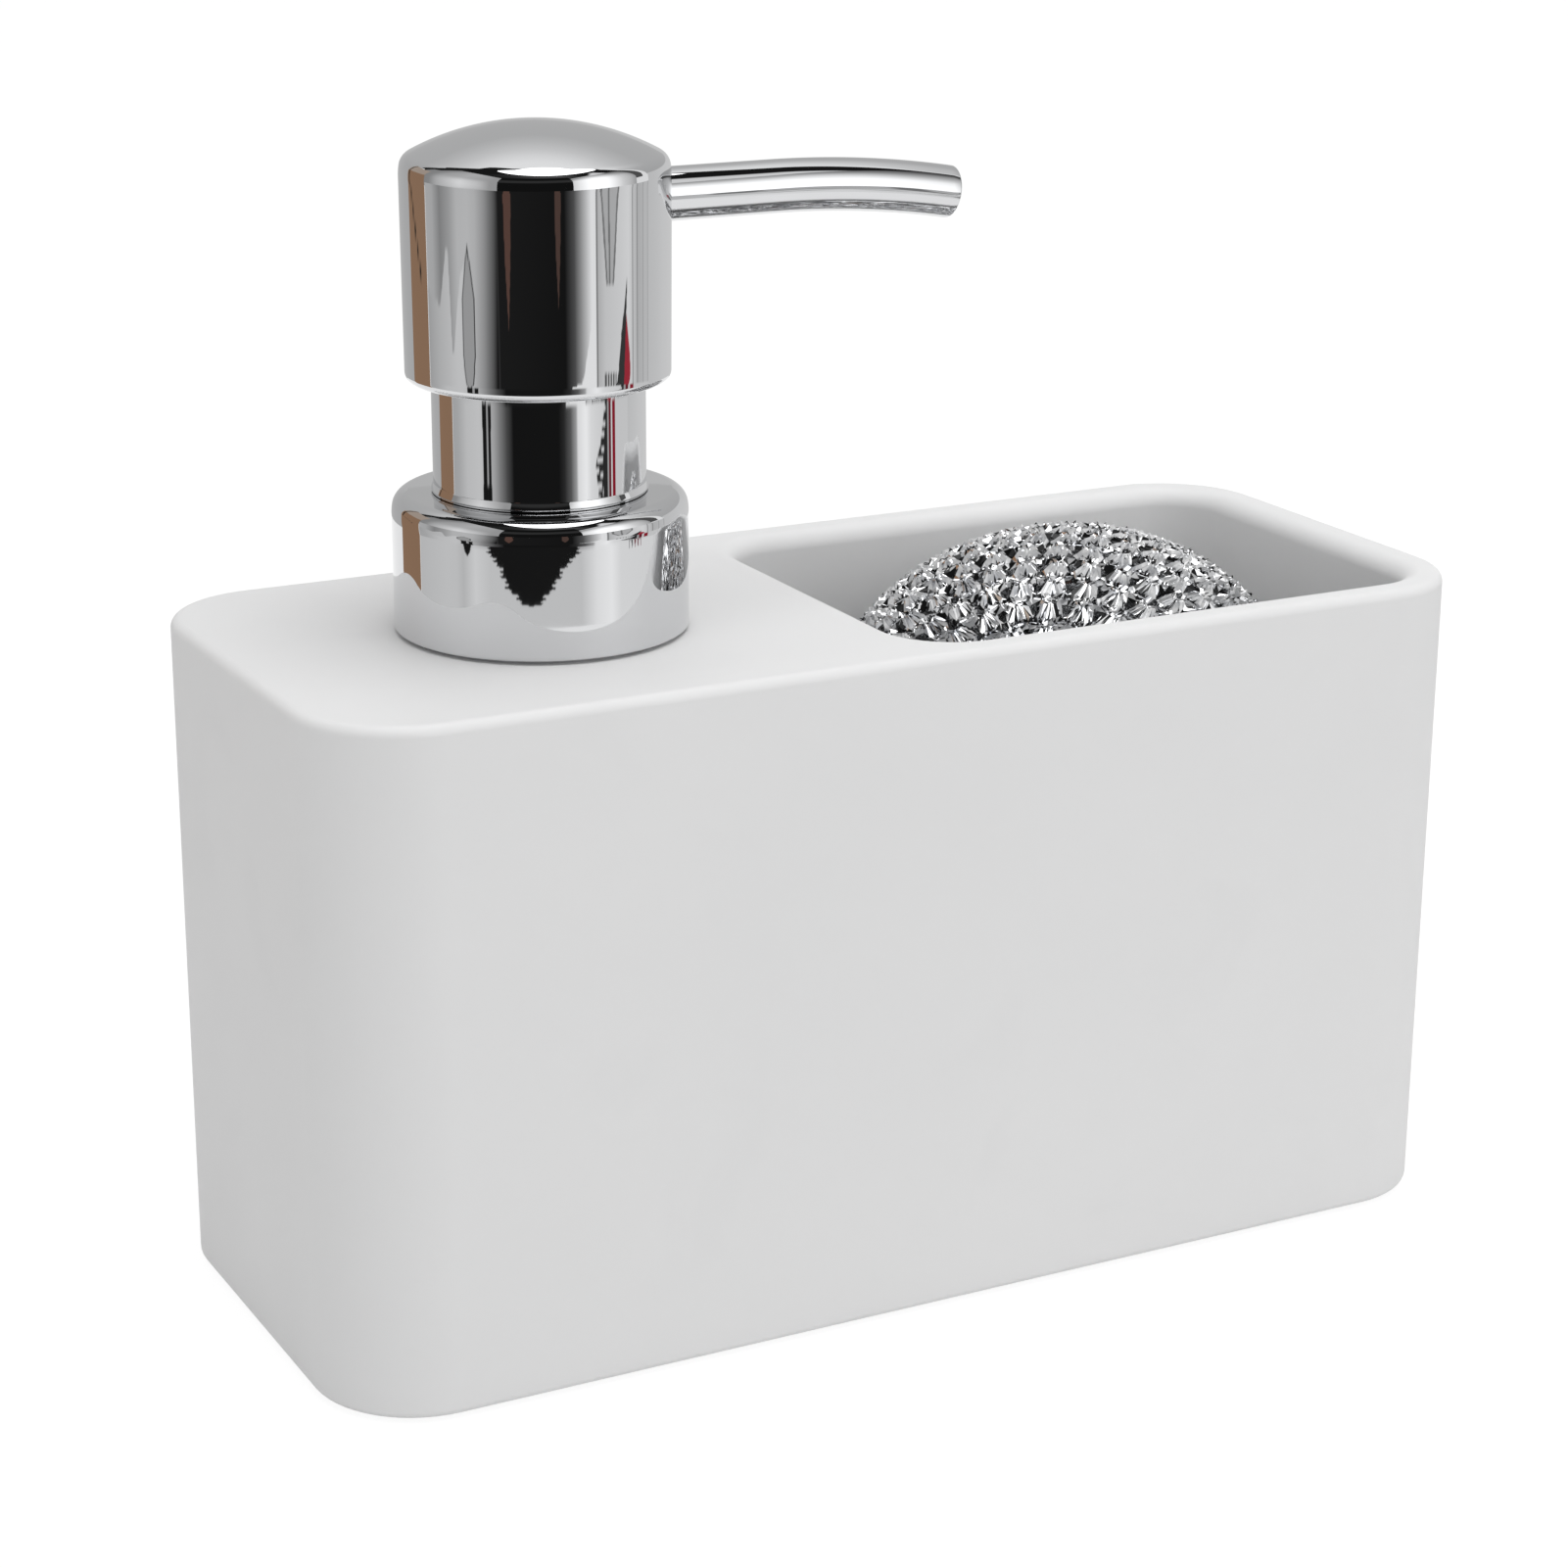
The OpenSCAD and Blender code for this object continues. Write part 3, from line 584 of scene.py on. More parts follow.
film_bm = bmesh.new()
mean_half = (pad_half.x + pad_half.y + pad_half.z) / 3
row_count = round(math.pi * mean_half / stitch_h)
stitches = 0
for row in range(1, row_count):
    polar = math.pi * row / row_count
    count = max(5, round(2 * math.pi * mean_half * math.sin(polar) / stitch_w))
    stitches += count
    turn0 = film_random.uniform(-ring_slip, ring_slip)
    ribbon = []
    for stitch in range(count):
        for d, sign in [(d, -1) for d in loop_stops] + [(d, 1) for d in loop_stops[-2:0:-1]]:
            line = []
            for share, fold in pleats:
                side = share * between(outer_width if share > 0 else inner_width, d)
                side += film_random.uniform(-edge_slip, edge_slip)
                out = between(film_height, d) + fold * film_random.uniform(least_fold, most_fold)
                t = stitch + 0.5 + sign * d
                place = knit_place(polar, turn0, 2 * math.pi / count, math.pi / row_count, t, side, out)
                line.append(film_bm.verts.new(place * MM))
            ribbon.append(line)
    for a, b in zip(ribbon, ribbon[1:] + ribbon[:1]):
        for j in range(len(pleats) - 1):
            film_bm.faces.new((a[j], b[j], b[j + 1], a[j + 1]))
film_mesh = bpy.data.meshes.new("scourer_knit")
film_bm.to_mesh(film_mesh)
film_bm.free()
scourer_knit = bpy.data.objects.new("scourer_knit", film_mesh)
bpy.context.scene.collection.objects.link(scourer_knit)
seat(scourer_knit, "pad", "scourer_mesh", "scourer")
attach(scourer_core, "pad")
print("scourer:", row_count - 1, "rows,", stitches, "stitches, faces", len(film_mesh.polygons))

# %% [markdown]
# ## Shared surface effects
# Several finishes need the same thing: a value that wanders over the surface, a fine grain, the
# odd smudge, or small pits. Each is a shader node group, built once and placed in a material
# with its own values. A group puts out only a value or a height. The shader stays in the
# material, so every finish can be read there. The groups measure in object space, which is in
# metres: a scale of 1000 makes features of about a millimetre.

# %% Group helpers
def new_group(name, inputs, outputs):
    """A shader node group with named number inputs and outputs, and its two end nodes."""
    group = bpy.data.node_groups.new(name, "ShaderNodeTree")
    for label, value in inputs.items():
        socket = group.interface.new_socket(name=label, in_out="INPUT", socket_type="NodeSocketFloat")
        socket.default_value = value
    for label in outputs:
        group.interface.new_socket(name=label, in_out="OUTPUT", socket_type="NodeSocketFloat")
    start = group.nodes.new("NodeGroupInput")
    end = group.nodes.new("NodeGroupOutput")
    return group, start, end


def add_node(tree, kind, **settings):
    node = tree.nodes.new(kind)
    for key, value in settings.items():
        setattr(node, key, value)
    return node


def feed(tree, socket, value):
    """Gives a socket a number, or a link from another socket."""
    if isinstance(value, (int, float)):
        socket.default_value = value
    else:
        tree.links.new(value, socket)


def range_node(tree, value, low, high, to_low=0.0, to_high=1.0):
    """Maps a value from one range to another; the ends may be numbers or sockets."""
    node = add_node(tree, "ShaderNodeMapRange", clamp=True)
    ends = {"Value": value, "From Min": low, "From Max": high, "To Min": to_low, "To Max": to_high}
    for label, end in ends.items():
        feed(tree, node.inputs[label], end)
    return node.outputs["Result"]


def math_node(tree, operation, a, b):
    node = add_node(tree, "ShaderNodeMath", operation=operation)
    feed(tree, node.inputs[0], a)
    feed(tree, node.inputs[1], b)
    return node.outputs[0]


def texture_node(tree, kind, **inputs):
    """A texture that is measured in object space, with numbers or sockets for its inputs."""
    node = add_node(tree, kind)
    tree.links.new(add_node(tree, "ShaderNodeTexCoord").outputs["Object"], node.inputs["Vector"])
    for label, value in inputs.items():
        feed(tree, node.inputs[label], value)
    return node


# %% Mottle: a value that wanders between two ends
mottle, start, end = new_group("Mottle", {"Scale": 60.0, "Detail": 4.0, "Low": 0.4, "High": 0.6}, ["Value"])
given = start.outputs
noise = texture_node(mottle, "ShaderNodeTexNoise", Scale=given["Scale"], Detail=given["Detail"])
wander = range_node(mottle, noise.outputs["Fac"], 0.3, 0.7, given["Low"], given["High"])
mottle.links.new(wander, end.inputs["Value"])

# %% Grain: a fine height for a Bump node
grain, start, end = new_group("Grain", {"Scale": 1500.0, "Roughness": 0.6}, ["Height"])
given = start.outputs
noise = texture_node(grain, "ShaderNodeTexNoise", Scale=given["Scale"], Roughness=given["Roughness"], Detail=3.0)
grain.links.new(noise.outputs["Fac"], end.inputs["Height"])

# %% Smudge: soft patches that cover a share of the surface
smudge, start, end = new_group("Smudge", {"Scale": 30.0, "Cover": 0.4, "Softness": 0.12}, ["Mask"])
given = start.outputs
noise = texture_node(smudge, "ShaderNodeTexNoise", Scale=given["Scale"], Detail=5.0, Distortion=0.6)
patch_edge = math_node(smudge, "SUBTRACT", 1.0, given["Cover"])
patch_inside = math_node(smudge, "ADD", patch_edge, given["Softness"])
smudge.links.new(range_node(smudge, noise.outputs["Fac"], patch_edge, patch_inside), end.inputs["Mask"])

# %% Pits: few small round holes, as air leaves in a casting or a foam
pits, start, end = new_group("Pits", {"Scale": 120.0, "Size": 0.05, "Share": 0.05}, ["Mask"])
given = start.outputs
cells = texture_node(pits, "ShaderNodeTexVoronoi", Scale=given["Scale"])
split = add_node(pits, "ShaderNodeSeparateColor")
pits.links.new(cells.outputs["Color"], split.inputs["Color"])
chosen = math_node(pits, "LESS_THAN", split.outputs[0], given["Share"])
hole = range_node(pits, cells.outputs["Distance"], 0.0, given["Size"], 1.0, 0.0)
pits.links.new(math_node(pits, "MULTIPLY", chosen, hole), end.inputs["Mask"])
print("groups:", [g.name for g in bpy.data.node_groups])


# %% Material helpers
def new_finish(name, colour, roughness, metallic=0.0, **sockets):
    """A material with its Principled BSDF set; plain numbers go straight on its sockets."""
    material = bpy.data.materials.new(name)
    material.use_nodes = True
    tree = material.node_tree
    shader = tree.nodes["Principled BSDF"]
    shader.inputs["Base Color"].default_value = (*colour, 1)
    shader.inputs["Roughness"].default_value = roughness
    shader.inputs["Metallic"].default_value = metallic
    for label, value in sockets.items():
        shader.inputs[label.replace("_", " ")].default_value = value
    return material, tree, shader


def use_group(tree, group, **values):
    node = add_node(tree, "ShaderNodeGroup", node_tree=group)
    for label, value in values.items():
        node.inputs[label].default_value = value
    return node.outputs[0]


def blend_colours(tree, factor, colour_a, colour_b, target=None):
    """Goes between two colours by a varying factor, and colours a socket with the result."""
    node = add_node(tree, "ShaderNodeMix", data_type="RGBA")
    tree.links.new(factor, node.inputs["Factor"])
    for socket, colour in ((node.inputs[6], colour_a), (node.inputs[7], colour_b)):
        if isinstance(colour, tuple):
            socket.default_value = (*colour, 1)
        else:
            tree.links.new(colour, socket)
    if target is not None:
        tree.links.new(node.outputs[2], target)
    return node.outputs[2]


def bump(tree, shader, height, depth_mm, strength=1.0):
    """Roughens the shading by a height."""
    node = add_node(tree, "ShaderNodeBump")
    node.inputs["Distance"].default_value = depth_mm * MM
    node.inputs["Strength"].default_value = strength
    tree.links.new(height, node.inputs["Height"])
    tree.links.new(node.outputs["Normal"], shader.inputs["Normal"])


# %% [markdown]
# ## Cast resin
# The body is a matte white casting. It is nearly one colour, but a real one has a very faint
# cloudiness, a few grey rub marks where it was handled, a sanded grain, and here and there a
# pinhole where a bubble of air met the surface. The pinholes have no depth: they are small spots
# painted dark, which is painted shade inside them. All of it stays weak, or it would read as dirt.

# %% Cast resin
cast_resin, tree, shader = new_finish("cast_resin", (0.80, 0.80, 0.80), 0.6, Specular_IOR_Level=0.35)
cloud = use_group(tree, mottle, Scale=18.0, Detail=3.0, Low=0.0, High=1.0)
clouded = blend_colours(tree, cloud, (0.795, 0.796, 0.798), (0.812, 0.812, 0.813))
rubbed = use_group(tree, smudge, Scale=42.0, Cover=0.40, Softness=0.30)
marked = blend_colours(tree, rubbed, clouded, (0.775, 0.776, 0.779))
# Pinholes: small spots painted dark grey, as painted shade inside holes that have no depth.
pinhole_shade = use_group(tree, pits, Scale=90.0, Size=0.05, Share=0.02)
blend_colours(tree, pinhole_shade, marked, (0.30, 0.30, 0.31), shader.inputs["Base Color"])
sheen = use_group(tree, mottle, Scale=55.0, Detail=4.0, Low=0.54, High=0.66)
tree.links.new(sheen, shader.inputs["Roughness"])
bump(tree, shader, use_group(tree, grain, Scale=2600.0, Roughness=0.65), 0.012, 0.5)

# %% [markdown]
# ## Plating
# Collar, sleeve, head and spout are moulded plastic with a bright plated skin. Such a mirror is
# never perfect: it is a little darker than silver, dulled here and there by the touch of a
# hand, and it waves by a few thousandths of a millimetre where the plastic shrank.

# %% Plating
plated, tree, shader = new_finish("plated", (0.67, 0.675, 0.685), 0.025, 1.0)
touched = use_group(tree, smudge, Scale=70.0, Cover=0.45, Softness=0.25)
dull = range_node(tree, touched, 0.0, 1.0, 0.015, 0.045)
tree.links.new(dull, shader.inputs["Roughness"])
tone = use_group(tree, mottle, Scale=35.0, Detail=3.0, Low=0.0, High=1.0)
blend_colours(tree, tone, (0.655, 0.66, 0.67), (0.685, 0.69, 0.70), shader.inputs["Base Color"])
bump(tree, shader, use_group(tree, grain, Scale=70.0, Roughness=0.3), 0.014, 0.25)

# %% [markdown]
# ## Film of the scourer
# The film is a bright metal skin on plastic. Its strips are flat, so they keep flat shading:
# every facet mirrors one direction, and the scourer glitters when the view moves. Between the
# loops the layer of film that lies on the pad shows: crumpled, and coloured much darker than the
# film, which is painted shade for lying deeper.

# %% Film and the layer under it
film, tree, shader = new_finish("scourer_film", (0.84, 0.85, 0.86), 0.05, 1.0)
film_tone = use_group(tree, mottle, Scale=420.0, Detail=2.0, Low=0.0, High=1.0)
blend_colours(tree, film_tone, (0.62, 0.63, 0.65), (0.98, 0.98, 0.98), shader.inputs["Base Color"])
film_dull = use_group(tree, mottle, Scale=300.0, Detail=2.0, Low=0.02, High=0.07)
tree.links.new(film_dull, shader.inputs["Roughness"])

# The layer under the film is coloured dark: painted shade between the loops.
shaded_under_film, tree, shader = new_finish("shaded_under_film", (0.38, 0.39, 0.41), 0.2, 1.0)
under_shade_tone = use_group(tree, mottle, Scale=500.0, Detail=3.0, Low=0.0, High=1.0)
blend_colours(tree, under_shade_tone, (0.10, 0.105, 0.115), (0.66, 0.67, 0.69), shader.inputs["Base Color"])
bump(tree, shader, use_group(tree, grain, Scale=650.0, Roughness=0.6), 1.2)

# %% [markdown]
# ## Moulded plastics
# Inside the pump there are plain moulded parts. They share one recipe, a clean colour with a
# breath of variation and a fine skin from the mould, and differ in tone and gloss.

# %% Moulded plastics
def moulded(name, dark, light, rough_low, rough_high, skin_mm=0.004, skin_scale=1800.0):
    material, tree, shader = new_finish(name, light, rough_low)
    wander = use_group(tree, mottle, Scale=90.0, Detail=3.0, Low=0.0, High=1.0)
    blend_colours(tree, wander, dark, light, shader.inputs["Base Color"])
    gloss = use_group(tree, mottle, Scale=140.0, Detail=2.0, Low=rough_low, High=rough_high)
    tree.links.new(gloss, shader.inputs["Roughness"])
    bump(tree, shader, use_group(tree, grain, Scale=skin_scale, Roughness=0.5), skin_mm)
    return material, tree, shader


base_plastic = moulded("base_plastic", (0.70, 0.70, 0.69), (0.75, 0.75, 0.74), 0.45, 0.6, 0.02, 1400.0)[0]
# The neck's dark grey is painted shade, which deepens the thin dark line under the collar.
neck_plastic = moulded("neck_plastic", (0.30, 0.30, 0.31), (0.34, 0.34, 0.35), 0.3, 0.42)[0]
white_plastic = moulded("white_plastic", (0.76, 0.76, 0.75), (0.81, 0.81, 0.80), 0.28, 0.4)[0]
ivory_plastic = moulded("ivory_plastic", (0.72, 0.68, 0.57), (0.77, 0.73, 0.62), 0.25, 0.36)[0]
seal_rubber = moulded("seal_rubber", (0.62, 0.45, 0.16), (0.70, 0.52, 0.20), 0.4, 0.55)[0]

# %% [markdown]
# ## Clear tube, foams and steels
# The dip tube is a milky plastic that lets some light through. The foams are full of pits, which
# are bumped and painted darker as painted shade inside them, and the two steels are a drawn wire
# and a polished ball.

# %% Clear tube, foams and steels
tube_plastic, tree, shader = moulded("tube_plastic", (0.78, 0.80, 0.80), (0.86, 0.88, 0.88), 0.18, 0.28)
shader.inputs["Transmission Weight"].default_value = 0.65
shader.inputs["IOR"].default_value = 1.45


def foamed(name, dark, light, cell_scale):
    material, tree, shader = new_finish(name, light, 0.85)
    cells = use_group(tree, pits, Scale=cell_scale, Size=0.5, Share=0.8)
    # The pores are darker than the foam around them: painted shade inside the pores.
    blend_colours(tree, cells, light, dark, shader.inputs["Base Color"])
    bump(tree, shader, math_node(tree, "SUBTRACT", 1.0, cells), 0.12)
    return material


foot_foam = foamed("foot_foam", (0.02, 0.02, 0.02), (0.06, 0.06, 0.062), 1400.0)
gasket_foam = foamed("gasket_foam", (0.42, 0.42, 0.42), (0.62, 0.62, 0.61), 1800.0)

spring_steel, tree, shader = new_finish("spring_steel", (0.55, 0.55, 0.56), 0.3, 1.0)
drawn = use_group(tree, mottle, Scale=600.0, Detail=3.0, Low=0.22, High=0.40)
tree.links.new(drawn, shader.inputs["Roughness"])
bump(tree, shader, use_group(tree, grain, Scale=2500.0, Roughness=0.6), 0.004)
ball_steel, tree, shader = new_finish("ball_steel", (0.60, 0.60, 0.61), 0.12, 1.0)
polish = use_group(tree, smudge, Scale=300.0, Cover=0.45, Softness=0.2)
tree.links.new(range_node(tree, polish, 0.0, 1.0, 0.08, 0.2), shader.inputs["Roughness"])

# %% Give every piece its finish
finish_of = {
    "cast_body": cast_resin, "collar": plated, "sleeve_tube": plated, "head_cap": plated, "spout_tube": plated,
    "threaded_neck": neck_plastic, "return_spring": spring_steel, "scourer_core": shaded_under_film, "scourer_knit": film,
    "base_plate": base_plastic, "base_pad": foot_foam, "closure_nut": white_plastic, "pump_housing": white_plastic,
    "neck_gasket": gasket_foam, "housing_cap": white_plastic, "ball_cage": white_plastic, "dip_tube": tube_plastic,
    "piston_seal": seal_rubber, "stem": white_plastic, "piston_rod": ivory_plastic, "head_insert": white_plastic,
    "check_ball": ball_steel,
}
for name, material in finish_of.items():
    mesh = bpy.data.objects[name].data
    mesh.materials.clear()
    mesh.materials.append(material)
print("pieces with a finish:", len(finish_of))

# %% [markdown]
# ## The studio
# Chrome shows the room, so the room is built too. For the camera, for mirrors and for glass the
# world is plain white. For light on matt surfaces it is weaker, so that the white body keeps
# its tones. Two soft lamps lift the top and the front, and the left side stays a little darker.
# The floor is pale. It looks white from the camera but keeps a soft shadow under the caddy.

# %% World
def seen_directly(tree):
    """1 for what the camera, mirrors and glass look at, and 0 for light on matt surfaces."""
    path = add_node(tree, "ShaderNodeLightPath")
    mirrored = math_node(tree, "MAXIMUM", path.outputs["Is Camera Ray"], path.outputs["Is Glossy Ray"])
    return math_node(tree, "MAXIMUM", mirrored, path.outputs["Is Transmission Ray"])


world = bpy.data.worlds.new("studio")
bpy.context.scene.world = world
world.use_nodes = True
tree = world.node_tree
tree.nodes.clear()
glow = range_node(tree, seen_directly(tree), 0.0, 1.0, 0.64, 1.0)
background = add_node(tree, "ShaderNodeBackground")
background.inputs["Color"].default_value = (1, 1, 1, 1)
tree.links.new(glow, background.inputs["Strength"])
end = add_node(tree, "ShaderNodeOutputWorld")
tree.links.new(background.outputs[0], end.inputs["Surface"])

# %% Floor
floor_bm = bmesh.new()
bmesh.ops.create_grid(floor_bm, x_segments=1, y_segments=1, size=6.0)
floor_mesh = bpy.data.meshes.new("studio_floor")
floor_bm.to_mesh(floor_mesh)
floor_bm.free()
floor = bpy.data.objects.new("studio_floor", floor_mesh)
bpy.context.scene.collection.objects.link(floor)
floor_white, tree, shader = new_finish("floor_white", (0.80, 0.80, 0.80), 0.9, Specular_IOR_Level=0.0)
lit = add_node(tree, "ShaderNodeEmission")
lit.inputs["Strength"].default_value = 1.11
share = range_node(tree, seen_directly(tree), 0.0, 1.0, 0.0, 0.82)
both = add_node(tree, "ShaderNodeMixShader")
tree.links.new(share, both.inputs["Fac"])
tree.links.new(shader.outputs[0], both.inputs[1])
tree.links.new(lit.outputs[0], both.inputs[2])
tree.links.new(both.outputs[0], tree.nodes["Material Output"].inputs["Surface"])
floor_mesh.materials.append(floor_white)


# %% Lamps
def soft_lamp(name, place_mm, aim_mm, size_mm, power):
    lamp_data = bpy.data.lights.new(name, "AREA")
    lamp_data.shape = "RECTANGLE"
    lamp_data.size, lamp_data.size_y = size_mm[0] * MM, size_mm[1] * MM
    lamp_data.energy = power
    lamp = bpy.data.objects.new(name, lamp_data)
    bpy.context.scene.collection.objects.link(lamp)
    place, aim = Vector(place_mm) * MM, Vector(aim_mm) * MM
    lamp.location = place
    lamp.rotation_mode = "QUATERNION"
    lamp.rotation_quaternion = (aim - place).to_track_quat("-Z", "Y")
    lamp.visible_glossy = False
    lamp.visible_camera = False


soft_lamp("lamp_top", (60, -150, 900), (0, 0, 60), (700, 500), 2.8)
soft_lamp("lamp_front", (300, -900, 450), (0, 0, 60), (600, 600), 1.1)

# %% [markdown]
# ## Cards for the mirrors
# In a studio, dark and bright cards stand round a shiny thing, so that its form reads. Most of
# the cards here are patches of a sphere about the pump, and the rest are flat. They are hidden
# from the camera, cast no shadow and light nothing; only mirrors see them. The black one in
# front stands where the camera stood. A turn is in degrees to the right of the camera, as seen
# from the pump, and up is in degrees over the level.
#
# A card's brightness could be an image, but a rule says what it does. So each card is a fine
# grid, a function of the place gives every point of it a tone, and the glow reads that tone.

# %% Card helper
camera_turn = math.degrees(math.atan2(eye.y, eye.x - pump_x * MM))
cards_z = 120.0
card_glow = bpy.data.materials.new("studio_card")
card_glow.use_nodes = True
tree = card_glow.node_tree
tree.nodes.clear()
painted = add_node(tree, "ShaderNodeAttribute", attribute_name="tone")
lit = add_node(tree, "ShaderNodeEmission")
tree.links.new(painted.outputs["Color"], lit.inputs["Color"])
end = add_node(tree, "ShaderNodeOutputMaterial")
tree.links.new(lit.outputs[0], end.inputs["Surface"])


def studio(right, toward, z):
    """A place in the studio: millimetres right of the pump's axis, towards the camera, and up."""
    a = math.radians(camera_turn)
    x, y = toward * math.cos(a) - right * math.sin(a), toward * math.sin(a) + right * math.cos(a)
    return Vector((pump_x + x, y, z))


def around(turn, up, radius):
    """A place on a sphere about the pump; turn 0 is below the camera."""
    a, e = math.radians(turn), math.radians(up)
    across = radius * math.cos(e)
    return studio(across * math.sin(a), across * math.cos(a), cards_z + radius * math.sin(e))


def hang(name, place, tone, columns=48, rows=16):
    """Hangs a card that only mirrors see. place and tone are functions of u and v, from 0 to 1."""
    bm = bmesh.new()
    layer = bm.loops.layers.float_color.new("tone")
    grid, tones = [], {}
    for i in range(columns + 1):
        column = []
        for j in range(rows + 1):
            u, v = i / columns, j / rows
            vert = bm.verts.new(place(u, v) * MM)
            value = tone(u, v) if callable(tone) else tone
            tones[vert] = (*value, 1.0) if isinstance(value, tuple) else (value, value, value, 1.0)
            column.append(vert)
        grid.append(column)
    for a, b in zip(grid, grid[1:]):
        for j in range(rows):
            face = bm.faces.new((a[j], b[j], b[j + 1], a[j + 1]))
            for loop in face.loops:
                loop[layer] = tones[loop.vert]
    mesh = bpy.data.meshes.new(name)
    bm.to_mesh(mesh)
    bm.free()
    mesh.materials.append(card_glow)
    made = bpy.data.objects.new(name, mesh)
    bpy.context.scene.collection.objects.link(made)
    made.visible_camera = made.visible_diffuse = made.visible_shadow = False
    made.visible_transmission = made.visible_volume_scatter = False
    print(name, len(mesh.polygons), "faces, for mirrors only")


def patch(name, turns, low, high, tone, radius, columns=48, rows=16):
    """A card on a sphere. low and high may be functions of the turn, and tone of turn and up."""
    def at(u, v):
        turn = turns[0] + (turns[1] - turns[0]) * u
        z0 = low(turn) if callable(low) else low
        z1 = high(turn) if callable(high) else high
        return turn, z0 + (z1 - z0) * v

    def tone_at(u, v):
        return tone(*at(u, v)) if callable(tone) else tone

    hang(name, lambda u, v: around(*at(u, v), radius), tone_at, columns, rows)


def flat(name, corners, tone, columns=48):
    """A flat card between four corners, given as studio places; v runs up its first side."""
    a, b, c, d = (Vector(corner) for corner in corners)
    hang(name, lambda u, v: studio(*(a.lerp(d, u).lerp(b.lerp(c, u), v))), tone, columns)


# %% [markdown]
# ## The cloth around the front
# A pale cloth hangs round the front half of the pump, and the camera looks through it. Head,
# sleeve and collar are three walls of different width and slope, so each of them mirrors its
# own height of the cloth: the head the upper part, the sleeve a band under it and the collar
# the lowest. Every list below holds a few stops: the tone at a turn, or an edge or half width
# at a height. Between two stops the values blend straight. The dark middle of head and sleeve
# is the room behind the camera.

# %% Tones of the plain cloth
head_cloth = [
    (-103, 0.55), (-95, 0.52), (-86, 0.30), (-76, 0.44), (-68, 0.62), (-58, 0.64), (-51, 0.59), (-43, 0.39),
    (-39, 0.25), (-35, 0.14), (-31, 0.015), (23, 0.01), (26, 0.04), (31, 0.10), (36, 0.34), (41, 0.66),
    (46, 1.05), (49.8, 1.0), (50.1, 0.20), (50.9, 0.20), (51.4, 0.60), (58, 0.76), (74, 0.84), (82, 0.90),
    (93, 0.60), (108, 0.70)]
lower_head = [(-103, 0.47), (-90, 0.59), (-80, 0.66), (-70, 0.74), (-62, 0.74)]
sleeve_cloth = [
    (-103, 0.50), (-95, 0.53), (-82, 0.70), (-66, 0.75), (-54, 0.62), (-48, 0.48), (-42, 0.28), (-34, 0.09),
    (-27, 0.01), (20, 0.01), (26, 0.03), (33, 0.13), (39, 0.45), (41, 0.98), (50, 1.16), (56, 0.95),
    (62, 0.90), (84, 0.76), (108, 0.76)]
collar_cloth = [
    (-103, 0.66), (-75, 0.73), (-66, 0.72), (-60, 0.64), (-50, 0.84), (-38, 0.73), (30, 0.72), (42, 1.0),
    (54, 1.1), (62, 0.92), (108, 0.88)]
sleeve_top, collar_top, collar_blend = -10.45, -15.6, 0.5

# %% Plain cloth
glare, glare_left, glare_right = 1.05, [(-9.8, 27), (-9.3, 38), (-7.5, 44.4), (-5.6, 48)], 50
dusk_left, dusk_right, dusk_shift = -56, -32, [(-9.7, 3), (-3, 0)]
lower_fold = [
    (-103, -6.0), (-88, -6.6), (-80, -4.4), (-78, -4.6), (-75.5, -8.4), (-74.5, -8.4), (-66, -5.4), (-62, -5.0)]


def cloth(turn, up):
    """The plain cloth: its three heights, and the folded edge that shows on the head's left."""
    if up < sleeve_top:
        share = min(max((up - collar_top) / collar_blend, 0.0), 1.0)
        low, middle = between(collar_cloth, turn), between(sleeve_cloth, turn)
        return low + (middle - low) * share
    if between(glare_left, up) < turn < glare_right:
        return glare
    if dusk_left < turn < dusk_right:
        return between(head_cloth, turn + between(dusk_shift, up))
    if turn < lower_fold[-1][0] and up < between(lower_fold, turn):
        return between(lower_head, turn)
    return between(head_cloth, turn)


# %% Marks on the part that the head mirrors
dark, dim, deep_red, bright_red = 0.012, 0.42, (0.16, 0.02, 0.03), (0.30, 0.015, 0.03)
gap_turn, gap_half = -58.8, [(-10.1, 0), (-9.5, 3.8), (-8.4, 6.0), (-6.2, 5.8), (-5.0, 2.6), (-4.2, 0)]
glints = [
    (-23.4, [(-7.4, 0), (-5, 2.2), (-2.5, 3.2), (3, 2.4)], (0.125, 0.068, 0.054)),
    (17.6, [(-6.6, 0), (-4.6, 1.8), (-2.5, 2.6), (3, 2.2)], (0.095, 0.058, 0.048))]
fold_low, fold_half = -5.8, 0.8
folds = [[(fold_low, 60.0), (-2.0, 54.8)], [(fold_low, 62.5), (-2.0, 62.0)], [(fold_low, 66.0), (-2.0, 71.4)]]
wedge_left = [(-9.9, 68), (-9.0, 71), (-7.6, 74), (-6.6, 77.5), (-5.6, 80.3)]
wedge_right = [(-9.9, 77), (-9.2, 77), (-7.0, 79.3), (-5.6, 80.4)]
red_right = [(-9.9, 82), (-9.0, 84), (-8.0, 82.4), (-7.0, 79.4)]
dash_top, dash_left, dash_right = -9.05, 57, 69
creases, crease_half = (86.8, 92.2, 99.5, 106.0), 0.5


def inside(turn, up, left, right):
    """Whether a place lies between two edges, within the heights of the right one."""
    return right[0][0] < up < right[-1][0] and between(left, up) <= turn < between(right, up)


